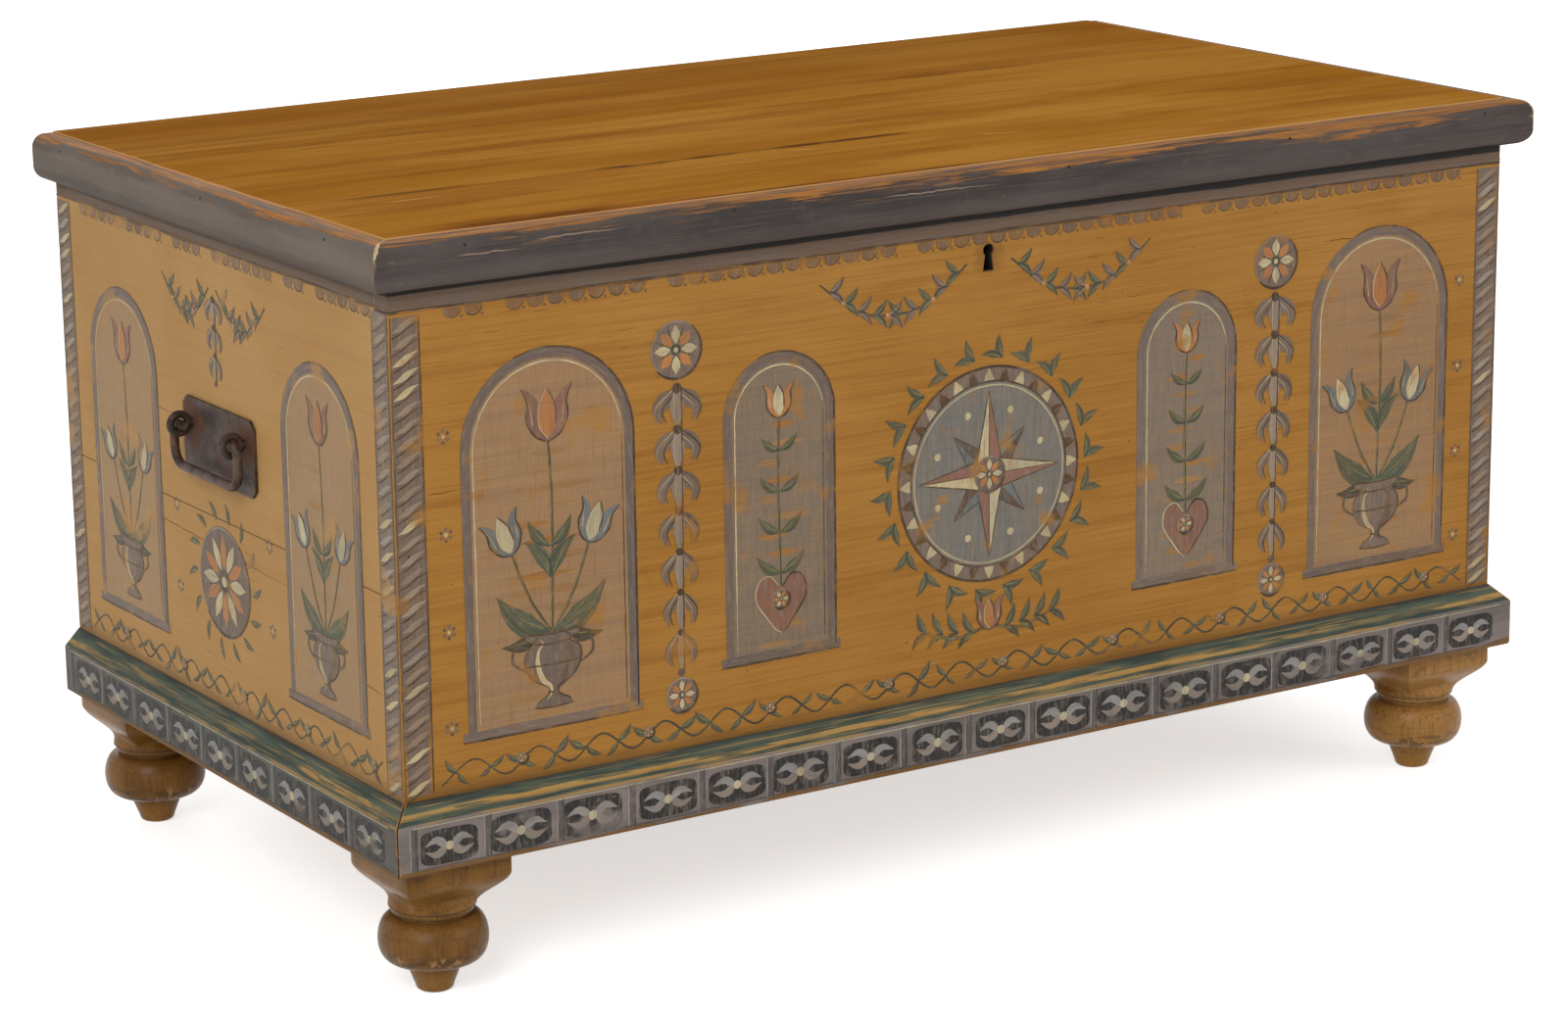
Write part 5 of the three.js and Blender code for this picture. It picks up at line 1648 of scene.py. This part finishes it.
def medallion(canvas, at, radius, darts=32, leaves=22):
    """The middle of the front: a compass star in rings, within a wreath of leaves."""
    canvas.disc(at, radius, MAUVE, 1, 90)
    canvas.disc(at, radius * 0.86, BLUE, 2, 80, 0.8)
    for index in range(darts):
        route = [ray(at, TURN * index / darts, radius * share) for share in DART_SHARES]
        canvas.pull(route, radius * 0.11, INK if index % 2 else CREAM, 3, TAIL_SHARES, 0.85)
    for share, colour, width in RING_SHARES:
        canvas.pull(arc(at, radius * share, 0, TURN, 90), width, colour, 4, closed=True)
    compass_star(canvas, at, radius * 0.78, 5)
    rosette(canvas, at, radius * 0.17, 8, 9)
    for index in range(8):
        turn = math.pi / 8 + math.pi / 2 * (index // 2) + math.pi / 4 * (index % 2)
        canvas.disc(ray(at, turn, radius * 0.62), radius * 0.035, CREAM, 5)
    for index in range(leaves):
        turn = TURN * index / leaves
        for flip in (-1, 1):
            lean = turn + flip * 0.62 - math.pi / 2 + 0.9
            leaf(canvas, ray(at, turn, radius * 1.08), radius * 0.24, lean, 2, GREEN, flip)


def arched_panel(canvas, at, width, height, field, filled):
    """A round-headed panel: a field, a broad frame, its shade and its light."""
    x, low = at
    left, right = x - width / 2, x + width / 2
    spring = low + height - width / 2
    arch = arc((x, spring), width / 2, 0, math.pi, 30)
    canvas.fill(straight([(left, low), (right, low)] + arch, closed=True), field, 0, filled)
    route = straight([(right, low), (right, spring)])[:-1] + arch
    route += straight([(left, spring), (left, low)])[1:]
    canvas.pull(route, PANEL_FRAME, MAUVE, 2, BLUNT_SHARES, 0.93, 0.05)
    ends = (left - PANEL_FRAME, right + PANEL_FRAME)
    canvas.pull(straight([(end, low) for end in ends]), PANEL_FRAME, MAUVE, 2)
    outer_x = right + PANEL_FRAME / 2
    shade = straight([(outer_x, low), (outer_x, spring)])[:-1]
    shade += arc((x, spring), (width + PANEL_FRAME) / 2, 0, math.pi * 0.62, 24)
    canvas.pull(shade, 1.5 * LINE, INK, 3, LINE_SHARES)
    under = straight([(end, low - PANEL_FRAME / 2) for end in ends])
    canvas.pull(under, 1.4 * LINE, INK, 3, LINE_SHARES)
    inner = (width - 1.6 * PANEL_FRAME) / 2
    light = arc((x, spring), inner, math.pi * 0.06, math.pi, 30)
    light += straight([(x - inner, spring), (x - inner, low + PANEL_FRAME)])[1:]
    canvas.pull(light, LINE, CREAM, 3, LINE_SHARES)
    dark = straight([(x + inner, low + PANEL_FRAME), (x + inner, spring)])
    canvas.pull(dark, FINE_LINE, INK, 3, LINE_SHARES, 0.85)
    dashes = int(height / PANEL_DASH_PITCH)
    for index in range(dashes):
        level = low + PANEL_FRAME + (spring - low) * index / dashes
        half = inner * canvas.dice.uniform(0.4, 0.9) / 2
        middle = x + canvas.dice.uniform(-0.3, 0.3) * inner
        dash = straight([(middle - half, level), (middle + half, level)])
        colour = canvas.dice.choice((field, BLUE, ROSE, MAUVE_LIGHT))
        canvas.pull(dash, PANEL_DASH_WIDTH, colour, 1, LEAF_SHARES, 0.35)


def potted_tulips(canvas, at, width, height):
    """An urn with three tulips and curling leaves."""
    x, low = at
    pot = width * 0.52
    urn(canvas, at, pot)
    rim = low + pot
    top = low + height
    stem(canvas, [(x, rim), (x + width * 0.02, (rim + top) / 2), (x, top - width * 0.36)])
    tulip(canvas, (x, top - width * 0.38), width * 0.38)
    for flip in (-1, 1):
        bend_at = (x + flip * width * 0.30, rim + (top - rim) * 0.34)
        stem(canvas, [(x, rim), (x + flip * width * 0.16, rim + (top - rim) * 0.14), bend_at])
        tulip(canvas, bend_at, width * 0.30, -flip * 0.35, BLUE, CREAM)
        leaf(canvas, (x, rim), width * 0.52, -flip * 0.95, 3, GREEN, flip)
        leaf(canvas, (x, rim + height * 0.17), width * 0.34, -flip * 0.62, 3, GREEN, -flip)
        leaf(canvas, (x, rim + height * 0.27), width * 0.26, -flip * 0.7, 3, GREEN, flip)
        leaf(canvas, (x + flip * width * 0.1, rim), width * 0.30, -flip * 1.75, 3, GREEN_DARK, flip)


def heart_sprig(canvas, at, width, height, levels=4):
    """A heart with a sprig of leaves and a small tulip above it."""
    x, low = at
    size = width * 0.62
    outline = shape(HEART_SHARES, at, size, closed=True)
    canvas.fill(outline, ROSE, 4)
    canvas.pull(outline[:len(outline) // 2], LINE, CREAM, 5, LINE_SHARES, 0.9)
    canvas.pull(outline[len(outline) // 2:], 1.3 * LINE, INK, 5, LINE_SHARES)
    rosette(canvas, (x, low + size * 0.58), size * 0.17, 6, 6)
    start = low + size * 0.82
    top = low + height
    stem(canvas, [(x, start), (x - width * 0.02, (start + top) / 2), (x, top - width * 0.34)])
    tulip(canvas, (x, top - width * 0.36), width * 0.36, 0.0, PEACH, CREAM)
    for index in range(levels):
        level = start + (top - width * 0.4 - start) * (index + 0.3) / levels
        for flip in (-1, 1):
            leaf(canvas, (x, level), width * (0.36 - 0.03 * index), -flip * 0.95, 3, GREEN, flip)


def husk_chain(canvas, top, length, width, count):
    """A drop of bellflower husks that grow smaller downwards."""
    x, level = top
    size = length / count * 1.02
    for index in range(count):
        wide = width * (1 - 0.42 * index / count)
        for lean, reach in HUSK_SHARES:
            tip = (x + lean * wide, level - size * reach)
            middle = (x + lean * wide * 1.25, level - size * reach * 0.55)
            route = curved([(x, level), middle, tip])
            layer, tone = (3, MAUVE) if lean else (5, MAUVE_LIGHT)
            canvas.pull(route, wide * 0.42, tone, layer, LEAF_SHARES)
            dark = [point + Vector((wide * 0.13, 0)) for point in route]
            canvas.pull(dark, LINE, INK, layer + 1, LINE_SHARES, 0.9)
            light = [point - Vector((wide * 0.08, 0)) for point in route]
            canvas.pull(light, FINE_LINE, CREAM, layer + 1, TAIL_SHARES, 0.6)
        canvas.disc((x, level), wide * 0.13, INK, 7)
        level -= size
    canvas.disc((x, level), width * 0.1, MAUVE_DARK, 6)


def rope_border(canvas, x, low, high, width):
    """A rope of slanting strokes between two levels."""
    strip = straight([(x, low), (x, high)])
    canvas.pull(strip, width, MAUVE, 0, BLUNT_SHARES, 0.88, 0.0)
    count = int((high - low) / ROPE_PITCH)
    for index in range(count):
        level = low + (high - low) * (index + 0.5) / count
        route = shape(ROPE_SHARES, (x, level), (width, ROPE_PITCH))
        colour = canvas.dice.choice((MAUVE_LIGHT, MAUVE_LIGHT, PALE, CREAM))
        canvas.pull(route, ROPE_PITCH * 0.42, colour, 1, LEAF_SHARES, 0.85)
        lower = shape(ROPE_SHARES, (x, level - ROPE_PITCH * 0.36), (width, ROPE_PITCH))
        canvas.pull(lower, LINE, INK, 2, LINE_SHARES, 0.9)
    for side in (-1, 1):
        edge = [point + Vector((side * width / 2, 0)) for point in strip]
        canvas.pull(edge, LINE, INK if side > 0 else MAUVE_DARK, 3, BLUNT_SHARES, 0.85, 0.0)


def scallops(canvas, start, end, level, pitch):
    """A row of small scallops hanging below the band."""
    count = round((end - start) / pitch)
    radius = (end - start) / count * 0.44
    for index in range(count):
        middle = start + (end - start) * (index + 0.5) / count
        if canvas.dice.random() < 0.07:
            continue
        outline = arc((middle, level), radius, math.pi, TURN, 10)
        canvas.fill(outline, MAUVE_BROWN, 1, canvas.dice.uniform(0.6, 0.9))
        cover = canvas.dice.uniform(0.6, 0.95)
        canvas.pull(outline[2:], FINE_LINE * 1.2, INK, 2, LINE_SHARES, cover)
        canvas.disc((middle + radius, level - radius * 0.95), radius * 0.16, MAUVE_DARK, 2, 8, 0.8)


def swag(canvas, start, end, level, drop, count):
    """A hanging garland of leaves and berries."""
    middle = (start + end) / 2
    quarter = (end - start) * 0.25
    low = level - drop * 0.8
    lowest = (middle, level - drop)
    route = curved([(start, level), (middle - quarter, low), lowest, (middle + quarter, low), (end, level)])
    canvas.pull(route, SWAG_STEM, GREEN_DARK, 2)
    for index in range(1, count):
        place = route[index * (len(route) - 1) // count]
        heading = math.pi / 2 * (1 if place.x < middle else -1) + math.pi
        for flip in (-1, 1):
            leaf(canvas, place, SWAG_LEAF, heading + flip * 0.7, 3, GREEN if index % 2 else MAUVE, flip)
        if index % 3 == 0:
            canvas.disc(place, BERRY_RADIUS, PEACH, 6, 10)
            glint = place + Vector((-BERRY_RADIUS / 4, BERRY_RADIUS / 3))
            canvas.disc(glint, BERRY_RADIUS / 3, CREAM, 7, 8)


def vine(canvas, start, end, level, pitch, height):
    """A running vine with leaves to both sides."""
    count = round((end - start) / pitch)
    points = []
    for index in range(count + 1):
        x = start + (end - start) * index / count
        points.append((x, level + height / 2 * (1 if index % 2 else -1)))
    canvas.pull(curved(points), VINE_STEM, GREEN_DARK, 1, BLUNT_SHARES, 0.92, 0.0)
    for index in range(count):
        at = (start + (end - start) * (index + 0.5) / count, level)
        flip = 1 if index % 2 else -1
        lean = canvas.dice.uniform(-0.25, 0.25) - flip * 0.9
        length = canvas.dice.uniform(0.8, 1.15) * height
        leaf(canvas, at, length, lean, 2, GREEN, flip)
        colour = canvas.dice.choice((GREEN, GREEN_DARK))
        leaf(canvas, at, length * 0.85, math.pi + lean, 2, colour, -flip)
        if index % 4 == 2:
            rosette(canvas, (at[0], level + height * 0.1), height * 0.26, 6, 5)


def dot_star(canvas, at, radius):
    """A small blossom of dots to fill a gap."""
    for index in range(6):
        spot = ray(at, math.pi / 3 * index + math.pi / 6, radius)
        canvas.disc(spot, radius * 0.34, MAUVE if index % 2 else MAUVE_DARK, 1, 10, 0.85)
    canvas.disc(at, radius * 0.36, CREAM, 2, 10)


def base_border(canvas, start, end, low, high, count):
    """Near-black fields with pale leaves along the plinth, parted by upright bars."""
    pitch = (end - start) / count
    middle = (low + high) / 2
    for index in range(count):
        x = start + pitch * (index + 0.5 + canvas.dice.uniform(-0.05, 0.05))
        half = pitch * canvas.dice.uniform(0.37, 0.42)
        tall = (high - low) * canvas.dice.uniform(0.68, 0.76)
        size = (half, tall / 2)
        canvas.fill(shape(FIELD_SHARES, (x, middle), size, closed=True), BLACK, 1, 0.95)
        for flip in (-1, 1):
            for lift in (-1, 1):
                shares = [(across, up * lift) for across, up in FIELD_LEAF_SHARES]
                route = shape(shares, (x, middle), size, 0, flip)
                canvas.pull(route, tall * 0.24, PALE if lift > 0 else MAUVE_LIGHT, 3, COMMA_SHARES, 0.85)
        canvas.disc((x, middle), tall * 0.13, CREAM, 5)
        for bar in BAR_STROKES:
            bar_x = start + pitch * index + bar["shift"]
            route = straight([(bar_x, low + BAR_LOW_GAP), (bar_x, high - BAR_HIGH_GAP)])
            canvas.pull(route, bar["width"], bar["colour"], bar["layer"], BLUNT_SHARES, 0.85)
    for level, colour in ((high - BORDER_HIGH_LINE, CREAM), (low + BORDER_LOW_LINE, INK)):
        route = straight([(start, level), (end, level)], 2 * STROKE_SPACING)
        canvas.pull(route, LINE, colour, 3, BLUNT_SHARES, 0.6, 0.0)


# Painted designs of the faces

ROPE_WIDTH = 0.022
PANEL_LOW = 0.196
POT_LIFT = 0.012
SCALLOP_PITCH = 0.0165
CORNER_MARGIN = 0.003
VINE = {"gap": 0.008, "lift": 0.0145, "pitch": 0.026, "height": 0.0155}
STAR_RADIUS = 0.0042
PLINTH_MARGIN = 0.012

# The front: places and sizes of its motifs
LARGE_PANEL = {"x": 0.378, "width": 0.132, "height": 0.268, "pot": (0.104, 0.232)}
SMALL_PANEL = {"x": 0.186, "lift": 0.018, "width": 0.088, "height": 0.222}
SPRIG = {"lift": 0.034, "width": 0.070, "height": 0.186}
CHAIN = {"x": 0.272, "top": 0.424, "length": 0.206, "width": 0.030}
TOP_ROSETTE = {"level": 0.452, "radius": 0.021}
LOW_ROSETTE = {"level": 0.197, "radius": 0.013}
STAR_X = 0.4605
STAR_LEVELS = (0.205, 0.275, 0.345, 0.415)
FRONT_SWAG = {"from": 0.020, "to": 0.150, "level": 0.484, "drop": 0.030}
MEDALLION = {"level": 0.322, "radius": 0.082}
SPRAY = {"low": 0.205, "sag": 0.006, "rise": 0.004, "bend": 0.03, "end": 0.062, "tulip": 0.026}
SPRAY_LEAVES = {"first": 0.014, "drop": 0.004, "climb": 0.002, "upper": 0.020, "lower": 0.018}

# The ends: places from the middle of the panel, and sizes
END_PANEL = {"x": 0.164, "width": 0.112, "height": 0.252, "pot": (0.088, 0.218)}
END_SWAG = {"from": 0.006, "to": 0.086, "level": 0.478, "drop": 0.024}
END_STAR_X = 0.078
END_STAR_LEVELS = (0.236, 0.300)
END_ROSETTE = {"level": 0.256, "radius": 0.042, "wreath": 0.046, "leaf": 0.017}
END_CHAIN = {"top": 0.470, "length": 0.062, "width": 0.022}


def large_panel(canvas, x, size):
    """A round-headed panel with an urn of tulips."""
    arched_panel(canvas, (x, PANEL_LOW), size["width"], size["height"], MAUVE_LIGHT, 0.42)
    potted_tulips(canvas, (x, PANEL_LOW + POT_LIFT), *size["pot"])


def flank(canvas, middle, sign, size, count):
    """One half of a garland."""
    ends = (middle + sign * size["from"], middle + sign * size["to"])
    swag(canvas, *ends, size["level"], size["drop"], count)


def borders(canvas, low_end, high_end, band_z, cover):
    """The scallops and the line below the band, and the vine above the plinth."""
    inset = ROPE_WIDTH + CORNER_MARGIN
    scallops(canvas, low_end + inset, high_end - inset, band_z - LINE, SCALLOP_PITCH)
    line = straight([(low_end, band_z), (high_end, band_z)], 2 * STROKE_SPACING)
    canvas.pull(line, LINE, INK, 3, BLUNT_SHARES, cover, 0.0)
    inset = ROPE_WIDTH + VINE["gap"]
    level = PLINTH_HIGH.z + VINE["lift"]
    vine(canvas, low_end + inset, high_end - inset, level, VINE["pitch"], VINE["height"])


def spray(canvas):
    """Leaves to both sides of a tulip below the medallion."""
    low = SPRAY["low"]
    for flip in (-1, 1):
        bend = (flip * SPRAY["bend"], low - SPRAY["sag"])
        stem(canvas, [(0, low), bend, (flip * SPRAY["end"], low + SPRAY["rise"])])
        for step in range(4):
            across = flip * SPRAY_LEAVES["first"] * (1 + step)
            spot = (across, low - SPRAY_LEAVES["drop"] + SPRAY_LEAVES["climb"] * step)
            leaf(canvas, spot, SPRAY_LEAVES["upper"], -flip * 0.5, 3, GREEN, flip)
            leaf(canvas, spot, SPRAY_LEAVES["lower"], -flip * 2.2, 3, GREEN_DARK, -flip)
    tulip(canvas, (0, low - SPRAY_LEAVES["drop"]), SPRAY["tulip"])


def paint_front():
    canvas = Canvas((0, CASE_FRONT, 0), (1, 0, 0), (0, -1, 0), 11)
    low = PLINTH_HIGH.z + CORNER_MARGIN
    band_z = BAND_LEVELS["x"]
    rope_x = CASE_HALF - ROPE_WIDTH / 2 - CORNER_MARGIN / 2
    for sign in (-1, 1):
        rope_border(canvas, sign * rope_x, low, band_z - CORNER_MARGIN, ROPE_WIDTH)
        large_panel(canvas, sign * LARGE_PANEL["x"], LARGE_PANEL)
        small_x = sign * SMALL_PANEL["x"]
        small_at = (small_x, PANEL_LOW + SMALL_PANEL["lift"])
        arched_panel(canvas, small_at, SMALL_PANEL["width"], SMALL_PANEL["height"], BLUE, 0.62)
        heart_sprig(canvas, (small_x, PANEL_LOW + SPRIG["lift"]), SPRIG["width"], SPRIG["height"])
        chain_x = sign * CHAIN["x"]
        rosette(canvas, (chain_x, TOP_ROSETTE["level"]), TOP_ROSETTE["radius"], 8)
        husk_chain(canvas, (chain_x, CHAIN["top"]), CHAIN["length"], CHAIN["width"], 7)
        rosette(canvas, (chain_x, LOW_ROSETTE["level"]), LOW_ROSETTE["radius"], 8)
        for level in STAR_LEVELS:
            dot_star(canvas, (sign * STAR_X, level), STAR_RADIUS)
        flank(canvas, 0, sign, FRONT_SWAG, 11)
    medallion(canvas, (0, MEDALLION["level"]), MEDALLION["radius"])
    spray(canvas)
    borders(canvas, -CASE_HALF, CASE_HALF, band_z, 0.8)
    canvas.finish("front", front_ground, "painted_front")


def paint_end(side, sign):
    canvas = Canvas((sign * CASE_HALF, 0, 0), (0, sign, 0), (sign, 0, 0), 23 + sign)
    low = PLINTH_HIGH.z + CORNER_MARGIN
    band_z = BAND_LEVELS["y"]
    front_x = sign * CASE_FRONT
    back_x = sign * BACK_FACE
    middle = (front_x + back_x) / 2
    for x in (front_x, back_x):
        rope_x = x + math.copysign(ROPE_WIDTH / 2 + CORNER_MARGIN / 2, middle - x)
        rope_border(canvas, rope_x, low, band_z - CORNER_MARGIN, ROPE_WIDTH)
    for flip in (-1, 1):
        large_panel(canvas, middle + flip * END_PANEL["x"], END_PANEL)
        flank(canvas, middle, flip, END_SWAG, 8)
        for level in END_STAR_LEVELS:
            dot_star(canvas, (middle + flip * END_STAR_X, level), STAR_RADIUS)
    centre = (middle, END_ROSETTE["level"])
    rosette(canvas, centre, END_ROSETTE["radius"], 12)
    for index in range(14):
        turn = TURN * index / 14
        spot = ray(centre, turn, END_ROSETTE["wreath"])
        leaf(canvas, spot, END_ROSETTE["leaf"], turn - math.pi / 2 + 0.5)
    husk_chain(canvas, (middle, END_CHAIN["top"]), END_CHAIN["length"], END_CHAIN["width"], 3)
    borders(canvas, *sorted((front_x, back_x)), band_z, 0.7)
    canvas.finish(side + "_end", end_ground, "painted_end")


def paint_plinth():
    def ground(recipe):
        return plinth_ground(recipe, axis)

    front = Canvas((0, PLINTH_LOW.y, 0), (1, 0, 0), (0, -1, 0), 41)
    faces = [("front", "x", front, (-PLINTH_HALF, PLINTH_HALF), 17)]
    for side, sign in (("left", -1), ("right", 1)):
        canvas = Canvas((sign * PLINTH_HALF, 0, 0), (0, sign, 0), (sign, 0, 0), 53 + sign)
        ends = sorted((sign * PLINTH_LOW.y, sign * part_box("plinth_" + side)[1].y))
        faces.append((side, "y", canvas, ends, 9))
    for side, axis, canvas, (start, end), count in faces:
        start, end = start + PLINTH_MARGIN, end - PLINTH_MARGIN
        base_border(canvas, start, end, PLINTH_LOW.z, SLOPE_ARRIS_Z, count)
        canvas.finish("plinth_" + side, ground, "plinth_paint")


bpy.context.scene.view_settings.view_transform = "Standard"
add_camera()
add_lamps()
add_sky()
add_floor()
foot_finish = foot_pine()
for number, place in enumerate(("front_left", "rear_left", "front_right", "rear_right")):
    add_foot("foot_" + place, foot_finish, number)
bail_iron = iron("bail_iron", BAIL_IRON, 0.6)
eye_iron = iron("eye_iron", IRON, 0.6)
for side, sign in (("left", -1), ("right", 1)):
    add_bail(side, bail_iron)
    for place in ("front", "rear"):
        add_eye(f"handle_eye_{side}_{place}", sign, eye_iron)
nail_finish = nail_iron()
add_moulding_nails(nail_finish)
add_case_nails(nail_finish)
dress_iron()
dress_case()
dress_lid()
paint_front()
for side, sign in (("left", -1), ("right", 1)):
    paint_end(side, sign)
paint_plinth()
